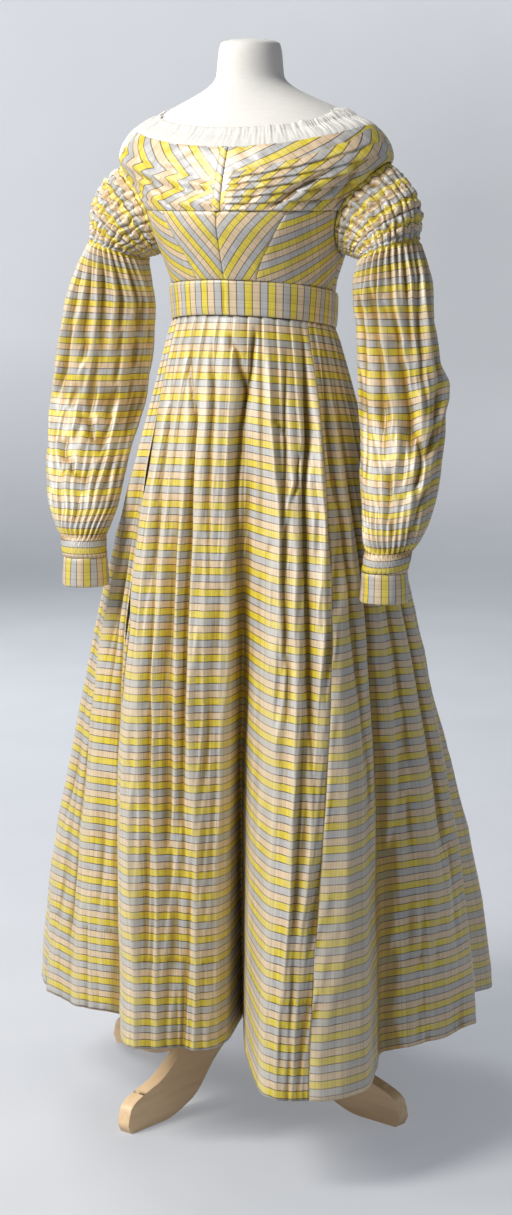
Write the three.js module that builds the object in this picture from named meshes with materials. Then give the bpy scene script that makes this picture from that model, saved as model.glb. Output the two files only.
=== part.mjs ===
import * as THREE from "three";

// A striped silk day dress on a limbless dress form with a four-footed wooden stand.
// Millimetres, +Z up. The front faces -Y and the wearer's left side is +X.
// An angle round the body is in degrees from the centre front towards the wearer's left.

const WALL = 1.8; // silk with its backing
const SEAM = 0.3; // gap between two sewn pieces

const BELT = { low: 1070, high: 1116, rise: 0.174, side: 114.5, front: 93, back: 90, flare: 3 };
const WAIST = { side: 112.5, front: 90, back: 88 };
const NECK = { front: 1305, back: 1325, shoulder: 1334 };
const DRAPE_LOW = 1222; // lower edge of the pleated upper front
const ARMHOLE = { angle: 91, spread: 22, z: 1225, half: 60, halfDepth: 43 };
const DART = { low: 21, high: 38, over: 20 }; // angles of the seam beside the centre front
const PLEATS = { waist: 36, bust: 5, bustZone: 0.62, bustRaise: 2.2 };
const BUST_FADE = { start: 5, full: 12, until: 67, end: 73 }; // angles where bust pleats rise and sink
const SMOCKING = { columns: 28, rows: 5, raise: 2.6 };
const HEAD = { inset: 0.8, bulge: 9, upward: 0.35, fuller: 1.15 };
const FOREARM = { high: 970, ease: 0.6 }; // below it each sleeve turns to its own wrist
const HEM = { side: 300, front: 285, back: 325, bell: 1.5, fold: 1.4 };
const CUFF = { high: 761, low: 722, half: 30, flare: 2 };
const WRIST = { left: { out: 232, fore: 106 }, right: { out: 190, fore: 135 } };
const TUCKER = { high: 25, shoulder: 0.62, waves: 30, raise: 2.2, wall: 1.2, clear: 4, lean: 1.6 };
const BAND = { half: 5.5, wall: 1.2 }; // covers the centre front seam of the drape
const POLE = { radius: 14, low: 190, high: 900 };
const HUB = { radius: 22, low: 105, high: 190 };
const LEG = { thick: 20, first: -17, count: 4 };

// How many faces run across each piece, or round it.
const FACES = { centre: 5, side: 8, drape: 10, back: 8, belt: 48, cuff: 24, form: 30, post: 24 };
const PANEL_HEIGHTS = [1140, 1152, 1166, 1175, 1195]; // rows of the panels above the belt
const BACK_PARTS = [0, 0.3, 0.45, 0.56]; // rows of the back from the armhole's middle upwards
const SHOULDER_PARTS = [PLEATS.bustZone, 0.72, 0.82, 0.91, 1];
const PLEAT_POINTS = 4; // points round each waist pleat
const INNER_HEAD = [0, 0.3, 0.65]; // rows of the plain inside of the sleeve's head
const INNER_EVERY = { rows: 2, until: 8 }; // the sleeve's inside leaves out rows down to that one

// Outside of the bodice at each height: half width, depth in front and depth behind.
const BODICE = [
  { z: 1090, side: 112, front: 90, back: 88 },
  { z: 1120, side: 114, front: 94, back: 89 },
  { z: 1150, side: 123, front: 104, back: 92 },
  { z: 1180, side: 134, front: 115, back: 96 },
  { z: 1205, side: 143, front: 122, back: 99 },
  { z: 1230, side: 154, front: 121, back: 102 },
  { z: 1255, side: 171, front: 115, back: 104 },
  { z: 1275, side: 188, front: 108, back: 105 },
  { z: 1292, side: 196, front: 101, back: 104 },
  { z: 1305, side: 193, front: 95, back: 102 },
  { z: 1320, side: 184, front: 88, back: 98 },
  { z: 1336, side: 169, front: 81, back: 93 },
];

// Outside of the dress form, whose sections step forward towards the neck.
const FORM = [
  { z: 900, side: 118, front: 84, back: 98, shift: 0 },
  { z: 906, side: 128, front: 92, back: 106, shift: 0 },
  { z: 940, side: 130, front: 94, back: 106, shift: 0 },
  { z: 990, side: 123, front: 90, back: 99, shift: 0 },
  { z: 1035, side: 109, front: 83, back: 84, shift: 0 },
  { z: 1070, side: 106, front: 83, back: 81, shift: 0 },
  { z: 1120, side: 109.5, front: 88.5, back: 84.5, shift: 0 },
  { z: 1150, side: 118.5, front: 99.5, back: 87.5, shift: 0 },
  { z: 1180, side: 127, front: 110.5, back: 91.5, shift: 0 },
  { z: 1205, side: 135, front: 117.5, back: 94.5, shift: 0 },
  { z: 1230, side: 144, front: 116.5, back: 97.5, shift: 0 },
  { z: 1255, side: 157, front: 110.5, back: 99.5, shift: 0 },
  { z: 1280, side: 172, front: 101, back: 100, shift: 0 },
  { z: 1300, side: 176, front: 90, back: 97, shift: 0 },
  { z: 1322, side: 166, front: 76, back: 89, shift: 0 },
  { z: 1340, side: 146, front: 67, back: 80, shift: 0 },
  { z: 1356, side: 118, front: 60, back: 70, shift: -2 },
  { z: 1370, side: 86, front: 53, back: 58, shift: -6 },
  { z: 1384, side: 58, front: 47, back: 47, shift: -10 },
  { z: 1396, side: 46, front: 43, back: 43, shift: -12 },
  { z: 1430, side: 42, front: 42, back: 42, shift: -12 },
  { z: 1438, side: 40, front: 40, back: 40, shift: -12 },
];
const FORM_TOP = { z: 1446, shift: -12 };

// The skirt's large folds: where each lies at the waist and at the hem, how far out its hem
// reaches from the pole, and how high it hangs above the floor.
const FOLDS = [
  { fold: "right side, back", waist: -112, hem: -100, reach: 305, lift: 128 },
  { fold: "right side", waist: -95, hem: -84, reach: 315, lift: 130 },
  { fold: "right side, front", waist: -75, hem: -55, reach: 262, lift: 133 },
  { fold: "box fold, inner", waist: -54, hem: -31, reach: 212, lift: 138 },
  { fold: "box fold, edge", waist: -42, hem: -8, reach: 310, lift: 142 },
  { fold: "box fold, middle", waist: -22, hem: 1, reach: 288, lift: 142 },
  { fold: "box fold, side", waist: -3, hem: 10.5, reach: 276, lift: 141 },
  { fold: "front valley, near", waist: 10, hem: 15.5, reach: 236, lift: 142 },
  { fold: "front valley", waist: 16, hem: 18, reach: 138, lift: 146 },
  { fold: "great fold, flank", waist: 24, hem: 22, reach: 280, lift: 138 },
  { fold: "great fold, first", waist: 36, hem: 26, reach: 405, lift: 128 },
  { fold: "great fold, seam", waist: 60, hem: 33.5, reach: 424, lift: 125 },
  { fold: "great fold, last", waist: 70, hem: 44, reach: 403, lift: 127 },
  { fold: "great fold, edge", waist: 75, hem: 51, reach: 345, lift: 130 },
  { fold: "left valley", waist: 80, hem: 58, reach: 298, lift: 132 },
  { fold: "left side, front", waist: 88, hem: 68, reach: 309, lift: 132 },
  { fold: "left side", waist: 98, hem: 80, reach: 324, lift: 130 },
  { fold: "left side, back", waist: 110, hem: 95, reach: 321, lift: 128 },
  { fold: "back valley 1", waist: 120, hem: 110, reach: 276, lift: 127 },
  { fold: "back fold 1", waist: 131, hem: 124, reach: 345, lift: 124 },
  { fold: "back valley 2", waist: 142, hem: 139, reach: 278, lift: 127 },
  { fold: "back fold 2", waist: 155, hem: 154, reach: 360, lift: 123 },
  { fold: "back valley 3", waist: 167, hem: 167, reach: 286, lift: 126 },
  { fold: "back fold 3", waist: 180, hem: 180, reach: 366, lift: 122 },
  { fold: "back valley 4", waist: 193, hem: 193, reach: 286, lift: 126 },
  { fold: "back fold 4", waist: 205, hem: 206, reach: 358, lift: 123 },
  { fold: "back valley 5", waist: 217, hem: 220, reach: 280, lift: 127 },
  { fold: "back fold 5", waist: 228, hem: 235, reach: 342, lift: 125 },
  { fold: "back valley 6", waist: 238, hem: 249, reach: 278, lift: 127 },
];

// The skirt's five widths: the waist angle of the seam where each begins.
const WIDTHS = [
  { name: "skirt_front", seam: -50 },
  { name: "skirt_side_left", seam: 60 },
  { name: "skirt_back_left", seam: 120 },
  { name: "skirt_back_right", seam: 180 },
  { name: "skirt_side_right", seam: 240 },
];
const SKIRT_LEVELS = [0, 0.025, 0.08, 0.17, 0.3, 0.5, 0.74, 1];
const PLEAT_DEPTHS = [
  { t: 0, deep: 1.6 },
  { t: 0.025, deep: 4.6 },
  { t: 0.08, deep: 4.4 },
  { t: 0.17, deep: 3 },
  { t: 0.3, deep: 1 },
  { t: 0.5, deep: 0 },
  { t: 1, deep: 0 },
];

// The sleeve below its smocking: the centre of each section, out from and in front of the
// body's middle, its half sizes across and along, how far it is turned, and its gathers.
const SLEEVE = [
  { z: 1172, out: 198, fore: 8, across: 36, along: 50, turn: 0, lean: 0.35, gather: 1.5 },
  { z: 1160, out: 200, fore: 11, across: 40, along: 49, turn: -5, lean: 0.28, gather: 2.6 },
  { z: 1135, out: 204, fore: 15, across: 49, along: 45, turn: -13, lean: 0.16, gather: 2.8 },
  { z: 1095, out: 208, fore: 20, across: 60, along: 39, turn: -22, lean: 0.04, gather: 2 },
  { z: 1040, out: 215, fore: 20, across: 64, along: 42, turn: -24, lean: 0, gather: 1 },
  { z: 980, out: 222, fore: 24, across: 65, along: 44, turn: -24, lean: 0, gather: 0.6 },
  { z: 920, out: 228, fore: 38, across: 61, along: 44, turn: -24, lean: 0, gather: 0.8 },
  { z: 870, out: 230, fore: 52, across: 54, along: 42, turn: -24, lean: 0, gather: 1.4 },
  { z: 830, out: 229, fore: 62, across: 47, along: 38, turn: -22, lean: 0, gather: 2.2 },
  { z: 803, out: 226, fore: 70, across: 37, along: 34, turn: -12, lean: 0, gather: 2.6 },
  { z: 786, out: 223, fore: 74, across: 30, along: 29, turn: -5, lean: 0, gather: 1 },
  { z: 778, out: 222, fore: 76, across: 30.5, along: 29.5, turn: 0, lean: 0, gather: 2 },
  { z: 770, out: 221, fore: 77, across: 29.5, along: 29, turn: 0, lean: 0, gather: 1 },
  { z: 761.3, out: 219, fore: 78, across: 30, along: 29.5, turn: 0, lean: 0, gather: 1 },
];

// Side of one leg of the stand: distance from the pole against the height of its edges.
const LEG_TOP = [
  { r: 268, z: 12 },
  { r: 262, z: 34 },
  { r: 243, z: 46 },
  { r: 207, z: 57 },
  { r: 171, z: 80 },
  { r: 120, z: 125 },
  { r: 70, z: 158 },
  { r: 22.3, z: 180 },
];
const LEG_FOOT = [
  { r: 22.3, z: 115 },
  { r: 92, z: 64 },
  { r: 140, z: 17 },
  { r: 200, z: 0 },
  { r: 262, z: 0 },
];

const rad = THREE.MathUtils.degToRad;
const lerp = THREE.MathUtils.lerp;
const smooth = (x, low, high) => THREE.MathUtils.smoothstep(x, low, high);

// Reads any column of a table at a value of its key column, on a smooth curve with no overshoot.
function reader(table, key) {
  const rows = [...table].sort((p, q) => p[key] - q[key]);
  const slope = (i, column) =>
    (rows[i + 1][column] - rows[i][column]) / (rows[i + 1][key] - rows[i][key]);
  const tangent = (i, column) => {
    if (i === 0) return slope(0, column);
    if (i === rows.length - 1) return slope(i - 1, column);
    const before = slope(i - 1, column);
    const after = slope(i, column);
    return before * after <= 0 ? 0 : (2 * before * after) / (before + after);
  };
  return (value, column) => {
    let i = 0;
    while (i < rows.length - 2 && value > rows[i + 1][key]) i++;
    const wide = rows[i + 1][key] - rows[i][key];
    const s = THREE.MathUtils.clamp((value - rows[i][key]) / wide, 0, 1);
    const rise = s * s * (3 - 2 * s);
    return (
      lerp(rows[i][column], rows[i + 1][column], rise) +
      wide * (s * (1 - s) ** 2 * tangent(i, column) - s * s * (1 - s) * tangent(i + 1, column))
    );
  };
}

const bodiceAt = reader(BODICE, "z");
const sleeveAt = reader(SLEEVE, "z");
const pleatDepth = reader(PLEAT_DEPTHS, "t");
const turned = (fold, turn) => ({ ...fold, waist: fold.waist + turn, hem: fold.hem + turn });
const foldAt = reader(
  [-360, 0, 360].flatMap((turn) => FOLDS.map((fold) => turned(fold, turn))),
  "waist",
);

// A point of an egg-shaped section at an angle from the centre front.
function around(section, degrees, z, grow = 0) {
  const a = rad(degrees);
  const depth = Math.cos(a) > 0 ? section.front : section.back;
  return new THREE.Vector3(
    (section.side + grow) * Math.sin(a),
    (section.shift ?? 0) - (depth + grow) * Math.cos(a),
    z,
  );
}

// The bodice's outside at an angle and height.
function bodicePoint(degrees, z, grow = 0) {
  const section = {
    side: bodiceAt(z, "side"),
    front: bodiceAt(z, "front"),
    back: bodiceAt(z, "back"),
  };
  return around(section, degrees, z, grow);
}

// Heights of the belt's edges and of the neckline at an angle.
const beltEdge = (degrees, level) => level - BELT.rise * around(BELT, degrees, 0).y;
function neckline(degrees) {
  const middle = Math.cos(rad(degrees)) > 0 ? NECK.front : NECK.back;
  return lerp(middle, NECK.shoulder, Math.sin(rad(degrees)) ** 2);
}

// Angle of the armhole's edge at a height, measured from its middle.
function armholeSpread(z) {
  const up = (z - ARMHOLE.z) / ARMHOLE.half;
  return Math.abs(up) < 1 ? ARMHOLE.spread * Math.sqrt(1 - up * up) : 0;
}

// ---- closed walls from rows of points ----

const flat = (points) => points.flatMap((p) => [p.x, p.y, p.z]);

// Two triangles for each cell between two rows of equally many points.
function strip(a, b, closed, out) {
  const last = closed ? a.length : a.length - 1;
  for (let i = 0; i < last; i++) {
    const j = (i + 1) % a.length;
    out.push(...flat([a[i], a[j], b[j]]), ...flat([a[i], b[j], b[i]]));
  }
}

// Joins a closed row to another with a whole number of times fewer points.
function stitch(many, few, out) {
  const times = many.length / few.length;
  few.forEach((from, i) => {
    const to = few[(i + 1) % few.length];
    for (let k = 0; k < times; k++) {
      const next = many[(i * times + k + 1) % many.length];
      out.push(...flat([many[i * times + k], next, from]));
    }
    out.push(...flat([many[((i + 1) * times) % many.length], to, from]));
  });
}

// Turns the triangles of a closed body so that they face outwards.
function solid(triangles) {
  const p = Float32Array.from(triangles);
  const corner = (i) => new THREE.Vector3().fromArray(p, i);
  let volume = 0;
  for (let i = 0; i < p.length; i += 9)
    volume += corner(i).dot(corner(i + 3).cross(corner(i + 6)));
  if (volume < 0)
    for (let i = 0; i < p.length; i += 9) {
      const second = p.slice(i + 3, i + 6);
      p.copyWithin(i + 3, i + 6, i + 9);
      p.set(second, i + 6);
    }
  const geometry = new THREE.BufferGeometry();
  geometry.setAttribute("position", new THREE.BufferAttribute(p, 3));
  geometry.computeVertexNormals();
  return geometry;
}

// The inside of a closed wall: each outer point moved in along the wall's own normal.
function inside(rows, wall) {
  return rows.map((row, j) =>
    row.map((p, i) => {
      const n = row.length;
      const along = row[(i + 1) % n].clone().sub(row[(i + n - 1) % n]);
      const up = rows[Math.min(j + 1, rows.length - 1)][i].clone();
      up.sub(rows[Math.max(j - 1, 0)][i]);
      return p.clone().addScaledVector(along.cross(up).normalize(), -wall);
    }),
  );
}

// A panel with four edges, from rows of outer and inner points that run to the wearer's left
// and upwards. Its two upright edges draw back by half a seam.
function panel(outer, inner) {
  [outer, inner].forEach((grid) =>
    grid.forEach((row) => {
      const end = row.length - 1;
      const first = row[1].clone().sub(row[0]).setLength(SEAM / 2);
      const last = row[end - 1].clone().sub(row[end]).setLength(SEAM / 2);
      row[0] = row[0].clone().add(first);
      row[end] = row[end].clone().add(last);
    }),
  );
  const out = [];
  for (let j = 0; j + 1 < outer.length; j++) {
    strip(outer[j], outer[j + 1], false, out);
    strip(inner[j + 1], inner[j], false, out);
  }
  const edge = (grid, i) => grid.map((row) => row.at(i));
  strip(inner[0], outer[0], false, out);
  strip(outer.at(-1), inner.at(-1), false, out);
  strip(edge(outer, 0), edge(inner, 0), false, out);
  strip(edge(inner, -1), edge(outer, -1), false, out);
  return solid(out);
}

// A tube from closed rows of outer points and closed rows of inner points, open at both ends.
function tube(outer, inner) {
  const out = [];
  for (let j = 0; j + 1 < outer.length; j++) strip(outer[j], outer[j + 1], true, out);
  for (let j = 0; j + 1 < inner.length; j++) strip(inner[j + 1], inner[j], true, out);
  const low = [];
  const high = [];
  stitch(outer[0], inner[0], low);
  stitch(outer.at(-1), inner.at(-1), high);
  for (let i = 0; i < low.length; i += 9) {
    const second = low.splice(i + 3, 3);
    low.splice(i + 6, 0, ...second);
  }
  return solid([...out, ...low, ...high]);
}

const steps = (low, high, count) =>
  Array.from({ length: count + 1 }, (_, i) => lerp(low, high, i / count));
const turns = (count) => Array.from({ length: count }, (_, i) => (360 * i) / count);

// ---- the pieces ----

const group = new THREE.Group();
group.name = "day_dress_on_form";

const silk = { color: 0xcbb35c, roughness: 0.42, metalness: 0 };
const bandSilk = { color: 0xd2bf78, roughness: 0.42, metalness: 0 };
const net = { color: 0xf2efe8, roughness: 0.85, metalness: 0 };
const cotton = { color: 0xe9e6df, roughness: 0.8, metalness: 0 };
const beech = { color: 0xb28c5f, roughness: 0.5, metalness: 0 };

function add(name, geometry, finish) {
  const mesh = new THREE.Mesh(geometry, new THREE.MeshStandardMaterial(finish));
  mesh.name = name;
  group.add(mesh);
  return mesh;
}

// Puts a left-hand piece and its mirror image on the two sides.
function addPair(name, make, finish) {
  add(`${name}_left`, make(1), finish);
  add(`${name}_right`, make(-1), finish);
}

// A bodice panel of one side: the height of each row is a function of the angle, and the row
// runs between two edge angles that depend on the height. Pleats raise the outer points alone.
function bodicePanel(side, heights, columns, from, to, raise = () => 0) {
  const rows = (grow, pleats) =>
    heights.map((height, j) =>
      steps(0, 1, columns).map((u) => {
        let z = height(ARMHOLE.angle);
        let degrees = 0;
        for (let pass = 0; pass < 8; pass++) {
          degrees = lerp(from(z), to(z), u);
          z = height(degrees);
        }
        return bodicePoint(degrees, z, grow + pleats(j, degrees));
      }),
    );
  const outer = rows(0, raise);
  const inner = rows(-WALL, () => 0);
  return side > 0 ? panel(outer, inner) : panel(mirrored(outer), mirrored(inner));
}

// A mirrored copy of the rows, still running to the wearer's left.
const mirrored = (rows) =>
  rows.map((row) => row.map((p) => new THREE.Vector3(-p.x, p.y, p.z)).reverse());

const centreFront = () => 0;
const centreBack = () => 180;
const dart = (z) => lerp(DART.low, DART.high, smooth(z, BELT.high, DRAPE_LOW + DART.over));
const armholeFront = (z) => ARMHOLE.angle - armholeSpread(z);
const armholeBack = (z) => ARMHOLE.angle + armholeSpread(z);

const overBelt = (degrees) => beltEdge(degrees, BELT.high) + SEAM;
const levelAt = (z) => () => z;
const upDrape = (part) => (degrees) => lerp(DRAPE_LOW + SEAM / 2, neckline(degrees), part);
const lowerRows = [overBelt, ...PANEL_HEIGHTS.map(levelAt)];
const underDrape = [...lowerRows, levelAt(DRAPE_LOW - SEAM / 2)];

const centre = (side) => bodicePanel(side, underDrape, FACES.centre, centreFront, dart);
const underArm = (side) => bodicePanel(side, underDrape, FACES.side, dart, armholeFront);
addPair("bodice_centre", centre, silk);
addPair("bodice_side", underArm, silk);

// The upper front is laid in pleats from the armhole down to the centre front.
const pleatParts = steps(0, PLEATS.bustZone, 2 * PLEATS.bust).slice(0, -1);
const drapeRows = [...pleatParts, ...SHOULDER_PARTS].map(upDrape);
function bustRaise(j, degrees) {
  if (j % 2 === 0 || j >= pleatParts.length) return 0;
  const risen = smooth(degrees, BUST_FADE.start, BUST_FADE.full);
  const sunk = smooth(degrees, BUST_FADE.until, BUST_FADE.end);
  return PLEATS.bustRaise * risen * (1 - sunk);
}
const drape = (side) =>
  bodicePanel(side, drapeRows, FACES.drape, centreFront, armholeFront, bustRaise);
addPair("bodice_drape", drape, silk);

const backRows = [...lowerRows, ...[...BACK_PARTS, ...SHOULDER_PARTS].map(upDrape)];
const back = (side) => bodicePanel(side, backRows, FACES.back, armholeBack, centreBack);
addPair("bodice_back", back, silk);

// A narrow band covers the centre front seam of the drape.
const bandRows = (grow) =>
  drapeRows.map((height) =>
    [-1, 0, 1].map((across) => {
      const z = height(0);
      const sine = (across * BAND.half) / bodiceAt(z, "side");
      return bodicePoint(THREE.MathUtils.radToDeg(Math.asin(sine)), z, grow);
    }),
  );
add("bodice_band", panel(bandRows(SEAM + BAND.wall), bandRows(SEAM)), silk);

// A closed ring between two heights, from a function of angle and height.
function ring(count, levels, point, wall) {
  const rows = (grow) =>
    levels.map((at) => turns(count).map((degrees) => point(degrees, at, grow)));
  return tube(rows(0), rows(-wall));
}

function beltPoint(degrees, level, grow) {
  const flare = level === BELT.high ? BELT.flare : 0;
  return around(BELT, degrees, beltEdge(degrees, level), grow + flare);
}
add("belt", ring(FACES.belt, [BELT.low, BELT.high], beltPoint, WALL), bandSilk);

// The skirt at a waist angle and a fraction of the way down: waist pleats melt into folds.
function skirtPoint(waist, t) {
  const top = around(WAIST, waist, beltEdge(waist, BELT.low) - SEAM);
  const start = (Math.atan2(top.x, -top.y) * 180) / Math.PI;
  const whole = 360 * Math.round((waist - start) / 360);
  const hem = foldAt(waist, "hem");
  const base = around(HEM, hem, 0).length();
  const bell = 1 - (1 - t) ** HEM.bell;
  const pleat = pleatDepth(t, "deep") * Math.cos(rad(PLEATS.waist * waist));
  const waistRadius = Math.hypot(top.x, top.y);
  const radius =
    lerp(waistRadius, base, bell) + (foldAt(waist, "reach") - base) * t ** HEM.fold + pleat;
  const angle = rad(lerp(start + whole, hem, bell));
  return new THREE.Vector3(
    radius * Math.sin(angle),
    -radius * Math.cos(angle),
    lerp(top.z, foldAt(waist, "lift"), t),
  );
}

const degreesApart = 360 / (PLEATS.waist * PLEAT_POINTS);
const levels = [...SKIRT_LEVELS].reverse();
const skirtRows = levels.map((t) =>
  turns(PLEATS.waist * PLEAT_POINTS).map((turn) => skirtPoint(WIDTHS[0].seam + turn, t)),
);
const skirtInside = inside(skirtRows, WALL);
const column = (seam) => Math.round((seam - WIDTHS[0].seam) / degreesApart);
WIDTHS.forEach(({ name, seam }, i) => {
  const next = WIDTHS[i + 1]?.seam ?? WIDTHS[0].seam + 360;
  const cut = (rows) =>
    rows.map((row) => [...row, row[0]].slice(column(seam), column(next) + 1));
  add(name, panel(cut(skirtRows), cut(skirtInside)), silk);
});

// One section of the sleeve's puffed part. The angle starts behind and turns outwards.
function sleevePoint(z, degrees, wrist, grow) {
  const a = rad(degrees);
  const turn = rad(sleeveAt(z, "turn"));
  const across = (sleeveAt(z, "across") + grow) * Math.sin(a);
  const along = (sleeveAt(z, "along") + grow) * Math.cos(a);
  const last = SLEEVE.at(-1);
  const pull = 1 - smooth(z, last.z, FOREARM.high);
  return new THREE.Vector3(
    sleeveAt(z, "out") + pull * (wrist.out - last.out) +
      across * Math.cos(turn) - along * Math.sin(turn),
    -sleeveAt(z, "fore") - pull * (wrist.fore - last.fore) +
      across * Math.sin(turn) + along * Math.cos(turn),
    z + sleeveAt(z, "lean") * across,
  );
}

// The armhole's edge on the bodice: the corners of its panels, up the back and down the front.
const corner = (edge) => (height) => {
  let z = height(ARMHOLE.angle);
  for (let pass = 0; pass < 8; pass++) z = height(edge(z));
  return bodicePoint(edge(z), z);
};
const beside = (p) => Math.abs(p.z - ARMHOLE.z) <= ARMHOLE.half;
const armholeEdge = [
  ...backRows.map(corner(armholeBack)).filter(beside),
  ...[...underDrape, ...drapeRows].map(corner(armholeFront)).filter(beside).reverse(),
];

// The place on that edge in a direction from the armhole's middle, drawn in by an inset.
function armholePoint(degrees, inset) {
  const dy = ARMHOLE.halfDepth * Math.cos(rad(degrees));
  const dz = ARMHOLE.half * Math.sin(rad(degrees));
  const cross = (p) => p.y * dz - (p.z - ARMHOLE.z) * dy;
  const ahead = (p) => p.y * dy + (p.z - ARMHOLE.z) * dz > 0;
  for (let i = 0; i < armholeEdge.length; i++) {
    const p = armholeEdge[i];
    const q = armholeEdge[(i + 1) % armholeEdge.length];
    if (cross(p) * cross(q) > 0 || cross(p) === cross(q) || !ahead(p) || !ahead(q)) continue;
    const found = p.clone().lerp(q, cross(p) / (cross(p) - cross(q)));
    const middle = new THREE.Vector3(found.x, 0, ARMHOLE.z);
    return found.add(middle.sub(found).setLength(inset));
  }
  throw new Error(`no armhole edge at ${degrees}`);
}

// The smocked sleeve head: from the armhole to the top of the puff, bulging outwards.
function headPoint(w, degrees, wrist, grow) {
  const start = armholePoint(degrees, HEAD.inset - grow);
  const end = sleevePoint(SLEEVE[0].z, degrees, wrist, grow);
  const outward = new THREE.Vector3(1, 0, HEAD.upward).normalize();
  const lift = HEAD.bulge * Math.sin(Math.PI * w) * (HEAD.fuller + Math.sin(rad(degrees)));
  return start.lerp(end, w).addScaledVector(outward, lift);
}

function sleeve(side) {
  const wrist = side > 0 ? WRIST.left : WRIST.right;
  const flip = (p) => (side > 0 ? p : new THREE.Vector3(-p.x, p.y, p.z));
  const count = 2 * SMOCKING.columns;
  const headRows = 2 * SMOCKING.rows;
  const raised = (i, j) => ((i + j) % 2 ? SMOCKING.raise : 0);
  const head = steps(0, 1, headRows).slice(0, -1);
  const outerHead = head.map((w, j) =>
    turns(count).map((degrees, i) => flip(headPoint(w, degrees, wrist, j && raised(i, j)))),
  );
  const outerBody = SLEEVE.map(({ z }) =>
    turns(count).map((degrees, i) =>
      flip(sleevePoint(z, degrees, wrist, i % 2 ? sleeveAt(z, "gather") : 0)),
    ),
  );
  const few = count / 4;
  const innerHead = INNER_HEAD.map((w) =>
    turns(few).map((degrees) => flip(headPoint(w, degrees, wrist, -WALL))),
  );
  const kept = (_, j) => j % INNER_EVERY.rows === 0 || j > INNER_EVERY.until;
  const innerBody = SLEEVE.filter(kept).map(({ z }) =>
    turns(few).map((degrees) => flip(sleevePoint(z, degrees, wrist, -WALL - FOREARM.ease))),
  );
  return tube([...outerHead, ...outerBody], [...innerHead, ...innerBody]);
}
addPair("sleeve", sleeve, silk);

// The cuff is a plain band that opens a little towards the hand.
function cuff(side) {
  const wrist = side > 0 ? WRIST.left : WRIST.right;
  const point = (degrees, level, grow) => {
    const radius = CUFF.half + grow + CUFF.flare * (level === CUFF.low ? 1 : 0);
    return new THREE.Vector3(
      side * (wrist.out + radius * Math.sin(rad(degrees))),
      -wrist.fore + radius * Math.cos(rad(degrees)),
      level,
    );
  };
  return ring(FACES.cuff, [CUFF.low, CUFF.high], point, WALL);
}
addPair("cuff", cuff, bandSilk);

// The gathered net frill that fills the neckline and leans in over the shoulders.
const formAt = reader(FORM, "z");
function tuckerPoint(degrees, level, grow) {
  const low = neckline(degrees) + SEAM;
  const z = low + TUCKER.high * level * lerp(1, TUCKER.shoulder, Math.sin(rad(degrees)) ** 2);
  const wave = level * TUCKER.raise * Math.cos(rad(TUCKER.waves * degrees));
  const onForm = { side: formAt(z, "side"), front: formAt(z, "front"), back: formAt(z, "back") };
  const leaning = around(onForm, degrees, z, TUCKER.clear + wave + grow);
  const lean = Math.min(1, level * TUCKER.lean);
  return bodicePoint(degrees, low, grow).setZ(z).lerp(leaning, lean);
}
add("tucker", ring(2 * TUCKER.waves, [0, 0.5, 1], tuckerPoint, TUCKER.wall), net);

// The dress form: its sections from the flat underside to the rounded top of the neck.
function dressForm() {
  const count = FACES.form;
  const rows = FORM.map((section) => turns(count).map((a) => around(section, a, section.z)));
  const out = [];
  for (let j = 0; j + 1 < rows.length; j++) strip(rows[j], rows[j + 1], true, out);
  const bottom = new THREE.Vector3(0, 0, FORM[0].z);
  const top = new THREE.Vector3(0, FORM_TOP.shift, FORM_TOP.z);
  for (let i = 0; i < count; i++) {
    const j = (i + 1) % count;
    out.push(...flat([rows[0][j], rows[0][i], bottom]));
    out.push(...flat([rows.at(-1)[i], rows.at(-1)[j], top]));
  }
  return solid(out);
}
add("dress_form", dressForm(), cotton);

// The wooden stand: pole, hub and four legs cut from planks.
function post({ radius, low, high }) {
  const cylinder = new THREE.CylinderGeometry(radius, radius, high - low, FACES.post);
  return cylinder.rotateX(Math.PI / 2).translate(0, 0, (low + high) / 2);
}
add("pole", post({ ...POLE, low: POLE.low + SEAM, high: POLE.high - SEAM }), beech);
add("hub", post(HUB), beech);

function leg() {
  const points = [...LEG_TOP, ...LEG_FOOT].map(({ r, z }) => new THREE.Vector2(r, z));
  const outline = new THREE.Shape(points);
  const plank = new THREE.ExtrudeGeometry(outline, { depth: LEG.thick, bevelEnabled: false });
  return plank.translate(0, 0, -LEG.thick / 2).rotateX(Math.PI / 2);
}
for (let i = 0; i < LEG.count; i++) {
  const mesh = add(`leg_${i + 1}`, leg(), beech);
  mesh.rotation.z = rad(LEG.first - 90 + (360 * i) / LEG.count);
}

// The middle of the whole outline stands over the origin.
const box = new THREE.Box3().setFromObject(group);
const middle = box.getCenter(new THREE.Vector3());
group.children.forEach((mesh) => {
  mesh.position.x -= middle.x;
  mesh.position.y -= middle.y;
});

export default group;
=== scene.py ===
# %% [markdown]
# # A striped silk day dress on its dress form
#
# The real object is a dress of about the 1830s in thin taffeta silk, striped in yellow,
# grey and pink, worn by a limbless dress form on a beech stand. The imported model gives
# every piece its place. This lesson makes the cloth again as thin shells, each laid out
# flat first so that its stripes follow its own cut, and then moved on to the form.

# %% Load the fixed frame
import math
from functools import lru_cache

import bmesh
import bpy
import numpy as np
from mathutils import Matrix, Vector, noise


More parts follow.
